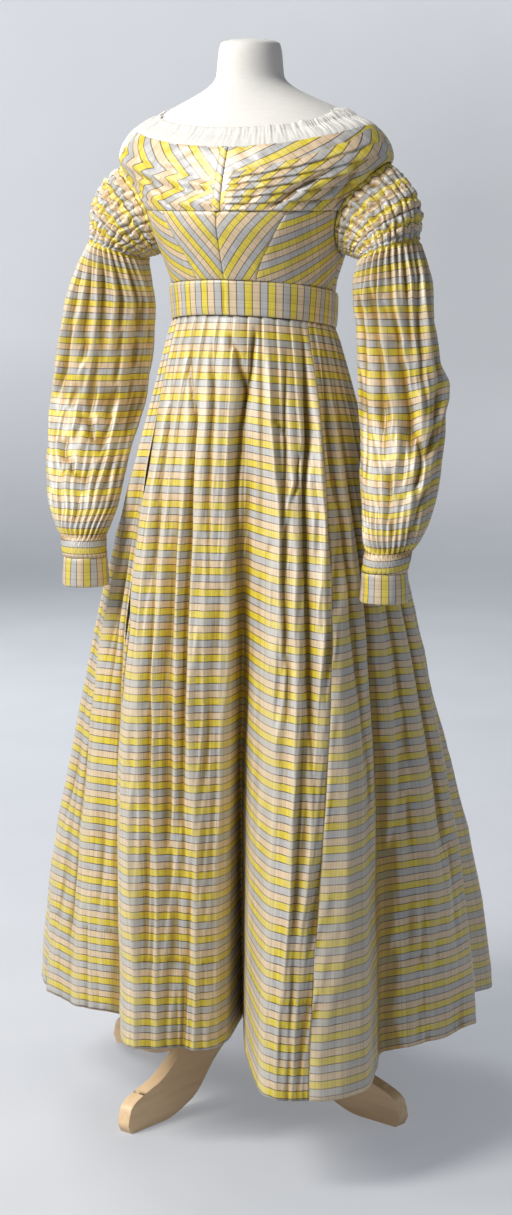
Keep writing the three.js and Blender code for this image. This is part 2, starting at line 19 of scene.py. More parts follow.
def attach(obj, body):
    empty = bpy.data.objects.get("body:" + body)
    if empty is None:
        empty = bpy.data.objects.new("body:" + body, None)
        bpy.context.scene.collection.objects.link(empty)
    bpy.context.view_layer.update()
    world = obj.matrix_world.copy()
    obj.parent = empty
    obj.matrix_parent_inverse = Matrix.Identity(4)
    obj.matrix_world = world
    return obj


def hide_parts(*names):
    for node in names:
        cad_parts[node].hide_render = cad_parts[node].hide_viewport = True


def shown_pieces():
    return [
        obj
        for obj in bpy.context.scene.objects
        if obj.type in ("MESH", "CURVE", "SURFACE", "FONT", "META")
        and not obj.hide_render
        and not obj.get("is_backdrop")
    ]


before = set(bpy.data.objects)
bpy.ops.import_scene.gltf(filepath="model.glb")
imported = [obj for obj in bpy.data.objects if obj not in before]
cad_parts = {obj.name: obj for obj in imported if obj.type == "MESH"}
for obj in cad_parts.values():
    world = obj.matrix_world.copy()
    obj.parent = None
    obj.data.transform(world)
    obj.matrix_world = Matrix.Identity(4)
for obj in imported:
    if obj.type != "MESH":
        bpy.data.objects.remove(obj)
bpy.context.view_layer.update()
MM = 0.001
POLE = Vector((-0.00432, -0.00007, 0.0))  # the stand's pole, which every piece is set round

# %% [markdown]
# ## Camera
#
# The camera stands 3.4 m from the pole at chest height, turned towards the wearer's left,
# and looks down a little, so that the dress fills a tall picture without any lens shift.

# %% The camera
CAMERA = {"distance": 3.40, "azimuth": 24.0, "height": 1.25, "down": 9.485, "lens": 74.19, "aside": 0.046}

camera = bpy.data.objects.new("view_camera", bpy.data.cameras.new("view_camera"))
bpy.context.scene.collection.objects.link(camera)
camera.data.lens = CAMERA["lens"]
camera.data.sensor_width = 36
turn = math.radians(CAMERA["azimuth"])
camera.location = POLE + Vector((math.sin(turn), -math.cos(turn), 0)) * CAMERA["distance"]
camera.location.z = CAMERA["height"]
camera.rotation_euler = (
    math.radians(90 - CAMERA["down"]),
    0,
    turn - math.radians(CAMERA["aside"]),
)
bpy.context.scene.camera = camera
print("camera at", tuple(round(x, 3) for x in camera.location))

# %% [markdown]
# ## Studio
#
# A pale floor runs up into a round wall, so no edge or horizon shows from any side. Large
# soft lamps stand for studio soft boxes: silk needs broad bright shapes to mirror, or its
# folds look dull.

# %% Floor and wall, spun from one profile
# The glows are painted light on the backdrop; the dimmer glow to one side is a painted shadow of the dress on
# the wall.
STUDIO = {"floor": 4.6, "curve": 2.2, "wall": 4.2, "colour": (0.43, 0.44, 0.465),
          "floor_glow": (0.21, 0.225, 0.25, 1), "wall_glow": (0.54, 0.56, 0.59, 1),
          "painted_shadow_glow": (0.33, 0.345, 0.365, 1), "bounce": (0.10, 0.104, 0.11, 1)}


def spun(name, profile, steps):
    """A surface of revolution round the z axis from a profile of (radius, height)."""
    mesh = bmesh.new()
    points = [mesh.verts.new((r, 0, z)) for r, z in profile]
    edges = [mesh.edges.new(pair) for pair in zip(points, points[1:])]
    bmesh.ops.spin(mesh, geom=points + edges, cent=(0, 0, 0), axis=(0, 0, 1),
                   angle=math.tau, steps=steps, use_merge=True)
    bmesh.ops.remove_doubles(mesh, verts=mesh.verts, dist=0.0001)
    bmesh.ops.recalc_face_normals(mesh, faces=mesh.faces)
    return made(name, mesh)


def made(name, mesh):
    """Turns a bmesh into a smooth-shaded object that sits at the origin."""
    data = bpy.data.meshes.new(name)
    mesh.to_mesh(data)
    mesh.free()
    data.shade_smooth()
    piece = bpy.data.objects.new(name, data)
    bpy.context.scene.collection.objects.link(piece)
    return piece


bend = [math.radians(90 * i / 12) for i in range(13)]
profile = [(0.0, 0.0), (2.5, 0.0)]
profile += [(STUDIO["floor"] + STUDIO["curve"] * math.sin(a),
             STUDIO["curve"] * (1 - math.cos(a))) for a in bend]
profile += [(STUDIO["floor"] + STUDIO["curve"], STUDIO["wall"])]
floor = spun("studio_floor", profile, 96)
floor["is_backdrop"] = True
print("studio:", len(floor.data.polygons), "faces")

# %% Lamps and sky
LAMPS = [
    # name, place, size, watts, colour
    ("key_box", (-1.7, -2.5, 3.0), 1.6, 88, (1.0, 0.975, 0.92)),
    ("top_box", (-0.95, -1.55, 2.7), 0.9, 27, (1.0, 0.975, 0.93)),
    ("side_box", (-3.2, -1.5, 2.3), 0.9, 24, (1.0, 0.98, 0.94)),
    ("rim_box", (-2.6, 2.6, 2.4), 1.5, 74, (0.97, 0.98, 1.0)),
    ("back_box", (2.8, 2.6, 2.6), 1.5, 5, (0.97, 0.98, 1.0)),
]
for name, place, size, watts, colour in LAMPS:
    lamp = bpy.data.objects.new(name, bpy.data.lights.new(name, "AREA"))
    lamp.data.shape = "DISK"
    lamp.data.size = size
    lamp.data.energy = watts
    lamp.data.color = colour
    lamp.location = place
    aim = Vector((0, 0, 0.85)) - Vector(place)
    lamp.rotation_euler = aim.to_track_quat("-Z", "Y").to_euler()
    bpy.context.scene.collection.objects.link(lamp)

world = bpy.data.worlds.new("studio_sky")
bpy.context.scene.world = world
world.use_nodes = True
world.node_tree.nodes["Background"].inputs["Color"].default_value = (0.92, 0.95, 1.0, 1)
world.node_tree.nodes["Background"].inputs["Strength"].default_value = 0.17
bpy.context.scene.view_settings.view_transform = "Standard"
print("lamps:", len(LAMPS))

# %% [markdown]
# ## Node groups
#
# Stripes, threads and wood grain are effects that several materials share, so each is a
# group that puts out colours or heights only. The stripes read a flat map in metres of
# real fabric, so a band is 9.5 mm wide wherever the cloth goes.

# %% A small helper that wires nodes
class Wiring:
    """Adds nodes to a tree and links them in one call."""

    def __init__(self, tree):
        self.tree = tree

    def node(self, kind, inputs=(), **settings):
        made_node = self.tree.nodes.new(kind)
        for key, value in settings.items():
            setattr(made_node, key, value)
        for key, value in dict(inputs).items():
            if isinstance(value, bpy.types.NodeSocket):
                self.tree.links.new(value, made_node.inputs[key])
            else:
                made_node.inputs[key].default_value = value
        return made_node

    def maths(self, operation, first, second=0.0, third=0.0):
        step = self.node("ShaderNodeMath", {0: first, 1: second, 2: third}, operation=operation)
        return step.outputs[0]

    def between(self, value, low, high, to_low=0.0, to_high=1.0):
        step = self.node("ShaderNodeMapRange", {
            "Value": value, "From Min": low, "From Max": high, "To Min": to_low, "To Max": to_high})
        return step.outputs["Result"]

    def mix(self, factor, first, second, blend="MIX"):
        step = self.node("ShaderNodeMix", data_type="RGBA", blend_type=blend)
        for socket, value in ((0, factor), (6, first), (7, second)):
            if isinstance(value, bpy.types.NodeSocket):
                self.tree.links.new(value, step.inputs[socket])
            else:
                step.inputs[socket].default_value = value
        return step.outputs[2]


def new_group(name, inputs, outputs):
    """A shader node group with named sockets: (name, kind, default) and (name, kind)."""
    tree = bpy.data.node_groups.new(name, "ShaderNodeTree")
    for label, kind, default in inputs:
        socket = tree.interface.new_socket(label, in_out="INPUT", socket_type=kind)
        if default is not None:
            socket.default_value = default
    for label, kind in outputs:
        tree.interface.new_socket(label, in_out="OUTPUT", socket_type=kind)
    wires = Wiring(tree)
    return wires, wires.node("NodeGroupInput").outputs, wires.node("NodeGroupOutput").inputs


FLOAT, COLOUR, VECTOR = "NodeSocketFloat", "NodeSocketColor", "NodeSocketVector"

# %% Threads: a fine plain weave for silk, net and cotton
weave, given, out = new_group(
    "plain weave",
    [("Cloth", VECTOR, None), ("Threads per metre", FLOAT, 2600.0)],
    [("Height", FLOAT), ("Slub", FLOAT)],
)
parts = weave.node("ShaderNodeSeparateXYZ", {0: given["Cloth"]}).outputs
warp = weave.maths("SINE", weave.maths("MULTIPLY", parts["X"], given["Threads per metre"]))
weft = weave.maths("SINE", weave.maths("MULTIPLY", parts["Y"], given["Threads per metre"]))
drawn_out = weave.node("ShaderNodeMapping", {"Vector": given["Cloth"], "Scale": (26.0, 620.0, 1.0)})
slub = weave.node("ShaderNodeTexNoise", {
    "Vector": drawn_out.outputs[0], "Scale": 1.0, "Detail": 2.0}).outputs["Fac"]
crossed = weave.maths("MULTIPLY", warp, weft)
weave.tree.links.new(weave.maths("MULTIPLY_ADD", crossed, 0.5, slub), out["Height"])
weave.tree.links.new(slub, out["Slub"])
print("group: plain weave")

# %% Stripes: three bands with dark lines between them, and fine cross lines
stripes, given, out = new_group(
    "taffeta stripes",
    [("Cloth", VECTOR, None), ("Repeat", FLOAT, 0.0285), ("Yellow", COLOUR, (0.75, 0.60, 0.04, 1)),
     ("Grey", COLOUR, (0.48, 0.48, 0.49, 1)), ("Pink", COLOUR, (0.74, 0.565, 0.37, 1)),
     ("Line", COLOUR, (0.06, 0.025, 0.015, 1)), ("Wander", FLOAT, 0.0006)],
    [("Colour", COLOUR), ("Line mask", FLOAT), ("Wash", FLOAT)],
)
parts = stripes.node("ShaderNodeSeparateXYZ", {0: given["Cloth"]}).outputs
sway = stripes.node("ShaderNodeTexNoise", {"Vector": given["Cloth"], "Scale": 9.0, "Detail": 1.0})
moved = stripes.maths("MULTIPLY_ADD", stripes.maths("SUBTRACT", sway.outputs["Fac"], 0.5),
                      given["Wander"], parts["Y"])
phase = stripes.maths("FRACT", stripes.maths("DIVIDE", moved, given["Repeat"]))
# Each band's mask is a step in the phase; the bands come in the order yellow, grey, pink.
past_grey = stripes.between(phase, 0.331, 0.336)
past_pink = stripes.between(phase, 0.664, 0.669)
bands = stripes.mix(past_grey, given["Yellow"], given["Grey"])
bands = stripes.mix(past_pink, bands, given["Pink"])
third = stripes.maths("PINGPONG", stripes.maths("MULTIPLY", phase, 3.0), 0.5)
lines = stripes.between(third, 0.042, 0.080, 1.0, 0.0)
# The cross lines lie in the other direction, with a fainter one beside every second line.
CROSS_LINES = {"apart": 0.0104, "fainter_apart": 0.0208, "beside": 0.21}
cross = stripes.maths("PINGPONG", stripes.maths("DIVIDE", parts["X"], CROSS_LINES["apart"]), 0.5)
fine = stripes.between(cross, 0.020, 0.060, 0.50, 0.0)
beside = stripes.maths("DIVIDE", parts["X"], CROSS_LINES["fainter_apart"])
beside = stripes.maths("PINGPONG", stripes.maths("ADD", beside, CROSS_LINES["beside"]), 0.5)
faint = stripes.between(beside, 0.010, 0.030, 0.26, 0.0)
both = stripes.maths("MAXIMUM", fine, faint)
drawn = stripes.mix(both, bands, (0.20, 0.15, 0.05, 1))
drawn = stripes.mix(stripes.maths("MULTIPLY", lines, 0.94), drawn, given["Line"])
# Warp threads are dyed a little unevenly, which shows as soft streaks down the cloth.
along = stripes.node("ShaderNodeMapping", {"Vector": given["Cloth"], "Scale": (95.0, 2.2, 1.0)})
streak = stripes.node("ShaderNodeTexNoise", {"Vector": along.outputs[0], "Scale": 1.0, "Detail": 3.0})
wash = stripes.between(streak.outputs["Fac"], 0.28, 0.72, 0.86, 1.12)
shade = stripes.node("ShaderNodeCombineXYZ", {0: wash, 1: wash, 2: wash}).outputs[0]
stripes.tree.links.new(stripes.mix(1.0, drawn, shade, "MULTIPLY"), out["Colour"])
stripes.tree.links.new(lines, out["Line mask"])
stripes.tree.links.new(wash, out["Wash"])
print("group: taffeta stripes")

# %% Grain: long brown streaks and short pale flecks of beech
grain, given, out = new_group(
    "beech grain",
    [("Along", VECTOR, None), ("Pale", COLOUR, (0.94, 0.69, 0.43, 1)),
     ("Dark", COLOUR, (0.82, 0.57, 0.33, 1))],
    [("Colour", COLOUR), ("Height", FLOAT)],
)
stretched = grain.node("ShaderNodeMapping", {"Vector": given["Along"], "Scale": (7.0, 90.0, 90.0)})
rings = grain.node("ShaderNodeTexNoise", {"Vector": stretched.outputs[0], "Scale": 1.0, "Detail": 5.0})
fleck_map = grain.node("ShaderNodeMapping", {"Vector": given["Along"], "Scale": (230.0, 900.0, 900.0)})
flecks = grain.node("ShaderNodeTexVoronoi", {"Vector": fleck_map.outputs[0], "Scale": 1.0})
tone = grain.between(rings.outputs["Fac"], 0.35, 0.68)
marks = grain.between(flecks.outputs["Distance"], 0.16, 0.30, 0.32, 0.0)
woody = grain.mix(tone, given["Pale"], given["Dark"])
grain.tree.links.new(grain.mix(marks, woody, given["Dark"]), out["Colour"])
grain.tree.links.new(rings.outputs["Fac"], out["Height"])
print("group: beech grain")

# %% [markdown]
# ## Finishes
#
# Taffeta is smooth, hard-spun silk: quite glossy, with a faint fuzz of sheen. The net is
# fine cotton, nearly matt. The form's cover is stretched cotton, and the stand is beech
# under a satin lacquer. Constant numbers sit on the shader itself.

# %% Silk
def new_material(name, **shader_values):
    """A material with a Principled shader; returns it, its wiring and the shader's inputs."""
    material = bpy.data.materials.new(name)
    material.use_nodes = True
    shader = material.node_tree.nodes["Principled BSDF"]
    for key, value in shader_values.items():
        shader.inputs[key.replace("_", " ")].default_value = value
    return material, Wiring(material.node_tree), shader.inputs


def use(wires, group, **inputs):
    """Places a node group and returns its outputs."""
    placed = wires.node("ShaderNodeGroup", node_tree=bpy.data.node_groups[group])
    for key, value in inputs.items():
        label = key.replace("_", " ")
        if isinstance(value, bpy.types.NodeSocket):
            wires.tree.links.new(value, placed.inputs[label])
        else:
            placed.inputs[label].default_value = value
    return placed.outputs


def silk(name, roughness, **tones):
    material, wires, shader = new_material(
        name, IOR=1.6, Specular_IOR_Level=0.6, Sheen_Weight=0.10, Sheen_Roughness=0.35)
    cloth_map = wires.node("ShaderNodeUVMap", uv_map="cloth").outputs[0]
    pattern = use(wires, "taffeta stripes", Cloth=cloth_map, **tones)
    threads = use(wires, "plain weave", Cloth=cloth_map)
    worn = wires.between(threads["Slub"], 0.3, 0.7, 0.93, 1.06)
    worn = wires.node("ShaderNodeCombineXYZ", {0: worn, 1: worn, 2: worn}).outputs[0]
    plain = wires.mix(1.0, pattern["Colour"], worn, "MULTIPLY")
    # Painted shade: in the cloth's hollows the colour is darkened towards golden brown, standing in for light
    # passed from band to band; on its ridges it is lightened towards pale cream, a painted highlight.
    hollow = wires.node("ShaderNodeAttribute", attribute_name="hollow").outputs["Fac"]
    deep = wires.between(hollow, 0.0, 0.8, 0.0, 1.0)
    painted_shade_colour = wires.mix(deep, plain, wires.mix(1.0, plain, (0.62, 0.50, 0.20, 1), "MULTIPLY"))
    # Painted highlight: where the cloth stands proud of its smoothed shape, the colour is lightened.
    painted_highlight = wires.between(hollow, 0.0, -1.0, 0.0, 0.30)
    shaded_and_highlighted_colour = wires.mix(painted_highlight, painted_shade_colour, (0.80, 0.72, 0.56, 1))
    wires.tree.links.new(shaded_and_highlighted_colour, shader["Base Color"])
    gloss = wires.between(pattern["Wash"], 0.86, 1.12, roughness + 0.05, roughness - 0.04)
    wires.tree.links.new(gloss, shader["Roughness"])
    crumple = wires.node("ShaderNodeMapping", {"Vector": cloth_map, "Scale": (60.0, 26.0, 1.0)})
    dents = wires.node("ShaderNodeTexNoise", {"Vector": crumple.outputs[0], "Scale": 1.0, "Detail": 3.0})
    ripples = wires.node("ShaderNodeBump", {
        "Height": dents.outputs["Fac"], "Strength": 0.35, "Distance": 0.004})
    fine_threads = wires.node("ShaderNodeBump", {
        "Height": threads["Height"], "Strength": 0.10, "Distance": 0.0003,
        "Normal": ripples.outputs[0]})
    wires.tree.links.new(fine_threads.outputs[0], shader["Normal"])
    return material


taffeta = silk("striped_taffeta", 0.39)
print("finish:", taffeta.name)

# %% Net, cotton, beech and the studio's paint
def woven(name, colour, threads_per_metre, **shader_values):
    material, wires, shader = new_material(name, **shader_values)
    cloth_map = wires.node("ShaderNodeUVMap", uv_map="cloth").outputs[0]
    threads = use(wires, "plain weave", Cloth=cloth_map, Threads_per_metre=threads_per_metre)
    tone = wires.between(threads["Slub"], 0.25, 0.75, 0.955, 1.02)
    tone = wires.node("ShaderNodeCombineXYZ", {0: tone, 1: tone, 2: tone}).outputs[0]
    wires.tree.links.new(wires.mix(1.0, colour, tone, "MULTIPLY"), shader["Base Color"])
    bump = wires.node("ShaderNodeBump", {
        "Height": threads["Height"], "Strength": 0.35, "Distance": 0.0004})
    wires.tree.links.new(bump.outputs[0], shader["Normal"])
    return material


net = woven("cotton_net", (0.72, 0.71, 0.68, 1), 3400.0, Roughness=0.85, Sheen_Weight=0.2)
cotton = woven("stretched_cotton", (0.76, 0.745, 0.72, 1), 2200.0, Roughness=0.8, Sheen_Weight=0.15)


def wood(name, **tones):
    material, wires, shader = new_material(name, Roughness=0.38, Coat_Weight=0.25, Coat_Roughness=0.2)
    along = wires.node("ShaderNodeAttribute", attribute_name="grain").outputs["Vector"]
    pattern = use(wires, "beech grain", Along=along, **tones)
    wires.tree.links.new(pattern["Colour"], shader["Base Color"])
    bump = wires.node("ShaderNodeBump", {"Height": pattern["Height"], "Strength": 0.15, "Distance": 0.0006})
    wires.tree.links.new(bump.outputs[0], shader["Normal"])
    return material


beech = wood("lacquered_beech")

paint, wires, shader = new_material("studio_paint", Roughness=0.9, Emission_Strength=1.0)
place = wires.node("ShaderNodeTexCoord").outputs["Object"]
speck = wires.node("ShaderNodeTexNoise", {"Vector": place, "Scale": 3.0, "Detail": 2.0})
tone = wires.between(speck.outputs["Fac"], 0.3, 0.7, 0.0, 0.06)
wires.tree.links.new(wires.mix(tone, (*STUDIO["colour"], 1), (1, 1, 1, 1)), shader["Base Color"])
# Painted light: the backdrop glows, in full only for the camera, so the glow doesn't flatten the silk; other
# rays meet a dim glow that stands in for light bounced from the walls. The glow is weaker on the floor than
# on the wall.
level = wires.node("ShaderNodeSeparateXYZ", {0: place}).outputs
# Painted shadow: towards the camera's right, at the height of the dress, the wall glows dimmer, standing in
# for the dress's shadow on it.
aside = wires.maths("MULTIPLY", wires.between(level["X"], -3.7, -1.9), wires.between(level["Z"], 0.0, 0.6))
aside = wires.maths("MULTIPLY", aside, wires.between(level["Z"], 2.4, 1.2))
glow = wires.mix(wires.between(level["Z"], 0.0, 0.7), STUDIO["floor_glow"], STUDIO["wall_glow"])
glow = wires.mix(aside, glow, STUDIO["painted_shadow_glow"])
seen = wires.node("ShaderNodeLightPath").outputs["Is Camera Ray"]
wires.tree.links.new(wires.mix(seen, STUDIO["bounce"], glow), shader["Emission Color"])
# The wall shows from inside only, so the dress can be looked at from beyond it as well.
wires.tree.links.new(wires.node("ShaderNodeNewGeometry").outputs["Backfacing"], shader["Alpha"])
floor.data.materials.append(paint)
print("finishes:", [m.name for m in (net, cotton, beech, paint)])

# %% [markdown]
# ## Reading the maker's tables
#
# The dress is drawn from short tables: a row for each section of the body, fold of the
# skirt or ring of a sleeve, in millimetres, as in the solid model. A smooth curve through
# the rows gives every value between them.

# %% The table reader
def read_table(rows):
    """Reads any column of rows sorted by their first column, with no overshoot."""
    def slope(i, column):
        return (rows[i + 1][column] - rows[i][column]) / (rows[i + 1][0] - rows[i][0])

    def tangent(i, column):
        if i == 0:
            return slope(0, column)
        if i == len(rows) - 1:
            return slope(i - 1, column)
        before, after = slope(i - 1, column), slope(i, column)
        return 0 if before * after <= 0 else 2 * before * after / (before + after)

    @lru_cache(None)
    def read(value, column):
        i = 0
        while i < len(rows) - 2 and value > rows[i + 1][0]:
            i += 1
        wide = rows[i + 1][0] - rows[i][0]
        s = min(max((value - rows[i][0]) / wide, 0), 1)
        rise = s * s * (3 - 2 * s)
        bend = s * (1 - s) ** 2 * tangent(i, column) - s * s * (1 - s) * tangent(i + 1, column)
        return lerp(rows[i][column], rows[i + 1][column], rise) + wide * bend

    return read


def lerp(a, b, t):
    return a + (b - a) * t


def smooth(x, low, high):
    s = min(max((x - low) / (high - low), 0), 1)
    return s * s * (3 - 2 * s)


def on_ring(s, size=1.0, z=0.0):
    """A point on a circle, where noise read round a piece meets itself again."""
    return Vector((math.sin(math.tau * s) * size, math.cos(math.tau * s) * size, z))


def chance(*keys):
    """An even, repeatable number from 0 to 1 for each set of keys."""
    return 0.5 + 0.5 * noise.noise(Vector((keys[0] * 3.71 + 0.37, (keys + (0,))[1] * 5.13 + 0.61, 0.5)))


# %% The body's sections
SEAM = 0.3
BELT = {"low": 1070, "high": 1116, "rise": 0.174, "side": 114.5, "front": 93, "back": 90, "flare": 3}
WAIST = {"side": 112.5, "front": 90, "back": 88}
NECK = {"front": 1305, "back": 1325, "shoulder": 1334}
DRAPE_LOW = 1222
ARMHOLE = {"angle": 91, "spread": 22, "z": 1225, "half": 60, "half_depth": 43}
DART = {"low": 21, "high": 38, "over": 20}
BODICE = [  # height, half width, depth in front, depth behind
    (1090, 112, 90, 88), (1120, 114, 94, 89), (1150, 123, 104, 92), (1180, 134, 115, 96),
    (1205, 143, 122, 99), (1230, 154, 121, 102), (1255, 171, 115, 104), (1275, 188, 108, 105),
    (1292, 196, 101, 104), (1305, 193, 95, 102), (1320, 184, 88, 98), (1336, 169, 81, 93),
]
bodice_at = read_table(BODICE)


def around(side, front, back, degrees, z, grow=0.0, shift=0.0):
    """A point of an egg-shaped section, in millimetres from the pole."""
    a = math.radians(degrees)
    depth = front if math.cos(a) > 0 else back
    return Vector(((side + grow) * math.sin(a), shift - (depth + grow) * math.cos(a), z))


def bodice_point(degrees, z, grow=0.0):
    return around(bodice_at(z, 1), bodice_at(z, 2), bodice_at(z, 3), degrees, z, grow)


def belt_edge(degrees, level):
    return level - BELT["rise"] * around(BELT["side"], BELT["front"], BELT["back"], degrees, 0).y


def neckline(degrees):
    middle = NECK["front"] if math.cos(math.radians(degrees)) > 0 else NECK["back"]
    return lerp(middle, NECK["shoulder"], math.sin(math.radians(degrees)) ** 2)


def armhole_spread(z):
    up = (z - ARMHOLE["z"]) / ARMHOLE["half"]
    return ARMHOLE["spread"] * math.sqrt(1 - up * up) if abs(up) < 1 else 0.0


def to_room(p):
    """From millimetres round the pole to metres in the row frame."""
    return Vector((p.x * MM, p.y * MM, p.z * MM)) + POLE


mean_depth = (WAIST["front"] + WAIST["back"]) / 2
print("waist round:", round(math.tau * math.sqrt((WAIST["side"]**2 + mean_depth**2) / 2)), "mm")

# %% [markdown]
# ## Laying cloth
#
# Every piece of cloth starts as a flat grid. Each corner keeps its place in the fabric as
# a flat map in metres, then the grid is moved on to the form, its relief is raised along
# its own normals, and Solidify gives it the thickness of silk with its backing. This keeps
# stripes and cross lines true to the cut, which a picture wrapped on later would not.

# %% The cloth maker
def lay_cloth(name, columns, rows, place, fabric, relief=None,
              round_it=False, round_pole=True, wall=0.9):
    """A grid over s (to the wearer's left, or round) and t (upwards), moved by place(s, t)."""
    mesh = bmesh.new()
    bmesh.ops.create_grid(mesh, x_segments=columns, y_segments=rows, size=0.5)
    across = mesh.verts.layers.float.new("across")
    up = mesh.verts.layers.float.new("up")
    cloth_map = mesh.loops.layers.uv.new("cloth")
    for vert in mesh.verts:
        vert[across], vert[up] = vert.co.x + 0.5, vert.co.y + 0.5
    for face in mesh.faces:
        for loop in face.loops:
            loop[cloth_map].uv = fabric(loop.vert[across], loop.vert[up])
    for vert in mesh.verts:
        vert.co = to_room(place(vert[across], vert[up]))
    if round_it:
        bmesh.ops.remove_doubles(mesh, verts=mesh.verts, dist=0.00002)
    turn_outwards(mesh, round_pole)
    if relief:
        mesh.normal_update()
        moves = [(vert, vert.normal * relief(vert[across], vert[up]) * MM) for vert in mesh.verts]
        for vert, move in moves:
            vert.co += move
    mesh.verts.layers.float.remove(mesh.verts.layers.float["across"])
    mesh.verts.layers.float.remove(mesh.verts.layers.float["up"])
    piece = made(name, mesh)
    if not wall:
        return piece
    mark_hollows(piece)
    shell = piece.modifiers.new("silk and its backing", "SOLIDIFY")
    shell.thickness = wall * MM
    shell.offset = -1
    return piece


def mark_hollows(piece, reach=0.0022, steps=(10, 60)):
    """Keeps how far each point lies inside the cloth's smoothed shape, from -1 to 1."""
    data = piece.data
    pairs = np.zeros(len(data.edges) * 2, np.int32)
    data.edges.foreach_get("vertices", pairs)
    ends = np.concatenate([pairs, pairs.reshape(-1, 2)[:, ::-1].ravel()]).reshape(-1, 2)
    count = len(data.vertices)
    places, normals = np.zeros(count * 3, np.float32), np.zeros(count * 3, np.float32)
    data.vertices.foreach_get("co", places)
    data.vertices.foreach_get("normal", normals)
    places, normals = places.reshape(-1, 3).astype(float), normals.reshape(-1, 3)
    links = np.maximum(np.bincount(ends[:, 0], minlength=count), 1)
    smoothed, depth = places.copy(), np.zeros(count)
    for step in range(1, max(steps) + 1):
        smoothed = np.stack([
            np.bincount(ends[:, 0], smoothed[ends[:, 1], axis], count) / links for axis in range(3)], axis=1)
        if step in steps:
            depth += np.einsum("ij,ij->i", smoothed - places, normals) / (reach * (1 if step < 30 else 2.2))
    # The silk's finish reads this mask to paint shade in the hollows and highlights on the ridges.
    marks = data.attributes.new("hollow", "FLOAT", "POINT")
    marks.data.foreach_set("value", np.clip(depth, -1, 1).astype(np.float32))


def turn_outwards(mesh, round_pole):
    """Reverses the faces if they look towards the pole, or towards the piece's own middle."""
    mesh.normal_update()
    middle = sum((v.co for v in mesh.verts), Vector()) / len(mesh.verts)
    outward = 0.0
    for face in mesh.faces:
        centre = face.calc_center_median()
        core = Vector((POLE.x, POLE.y, centre.z)) if round_pole else middle
        outward += (face.normal * face.calc_area()).dot(centre - core)
    if outward < 0:
        bmesh.ops.reverse_faces(mesh, faces=mesh.faces)


def finish_piece(piece, material, slot, *nodes):
    """Gives a piece its finish and its body, and hides the solids that it stands for."""
    piece.data.materials.append(material)
    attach(piece, "root")
    if nodes:
        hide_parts(*nodes)
    area = sum(f.area for f in piece.data.polygons)
    print(f"{piece.name}: {len(piece.data.polygons)} faces, {area:.4f} square metres")


def crease_depth(creases, along, across):
    """The relief at a place from creases drawn along listed paths: (path, depth, half width, sharpness)."""
    total = 0.0
    for path, depth, wide, sharp in creases:
        first, last = path[0][0], path[-1][0]
        if not first <= along <= last:
            continue
        i = 0
        while i < len(path) - 2 and along > path[i + 1][0]:
            i += 1
        part = (along - path[i][0]) / (path[i + 1][0] - path[i][0])
        centre = lerp(path[i][1], path[i + 1][1], part * part * (3 - 2 * part))
        away = abs(across - centre) / wide
        if away > 3:
            continue
        run = (along - first) / (last - first)
        fade = min(1.0, 5 * run) * min(1.0, 3.5 * (1 - run))
        total += depth * fade * math.exp(-(away ** sharp))
    return total


# %% [markdown]
# ## Skirt
#
# Five straight widths of silk are pleated to the waist and hang in deep folds. The large
# folds are the solid's own. On them lie the pleats, each a round ridge with a sharp valley
# that takes in the spare cloth, and creases placed one by one.

# %% The skirt's large folds
HEM = {"side": 300, "front": 285, "back": 325, "bell": 1.5, "fold": 1.4}
FOLDS = [  # angle at the waist, angle at the hem, reach from the pole, height of the hem
    (-112, -100, 305, 128), (-95, -84, 315, 130), (-75, -55, 262, 133), (-54, -31, 212, 138),
    (-42, -8, 310, 142), (-22, 1, 288, 142), (-3, 10.5, 276, 141), (10, 15.5, 236, 142),
    (16, 18, 138, 146), (24, 22, 280, 138), (36, 26, 405, 128), (60, 33.5, 424, 125),
    (70, 44, 403, 127), (75, 51, 345, 130), (80, 58, 298, 132), (88, 68, 309, 132),
    (98, 80, 324, 130), (110, 95, 321, 128), (120, 110, 276, 127), (131, 124, 345, 124),
    (142, 139, 278, 127), (155, 154, 360, 123), (167, 167, 286, 126), (180, 180, 366, 122),
    (193, 193, 286, 126), (205, 206, 358, 123), (217, 220, 280, 127), (228, 235, 342, 125),
    (238, 249, 278, 127),
]
fold_at = read_table([(w + k, h + k, reach, lift)
                      for k in (-360, 0, 360) for w, h, reach, lift in FOLDS])
PLEAT_DEPTHS = read_table([  # fraction of the way down, depth
    (0, 2.0), (0.02, 4.6), (0.08, 4.6), (0.17, 3.4), (0.3, 1.9), (0.5, 0.8), (0.8, 0),
])
PLEATS = 36
SKIRT_LENGTH = 0.972
SKIRT_RELIEF = {"creases": 1.25, "long_folds": 15.0, "crumples": 6.5, "fine": 1.2}

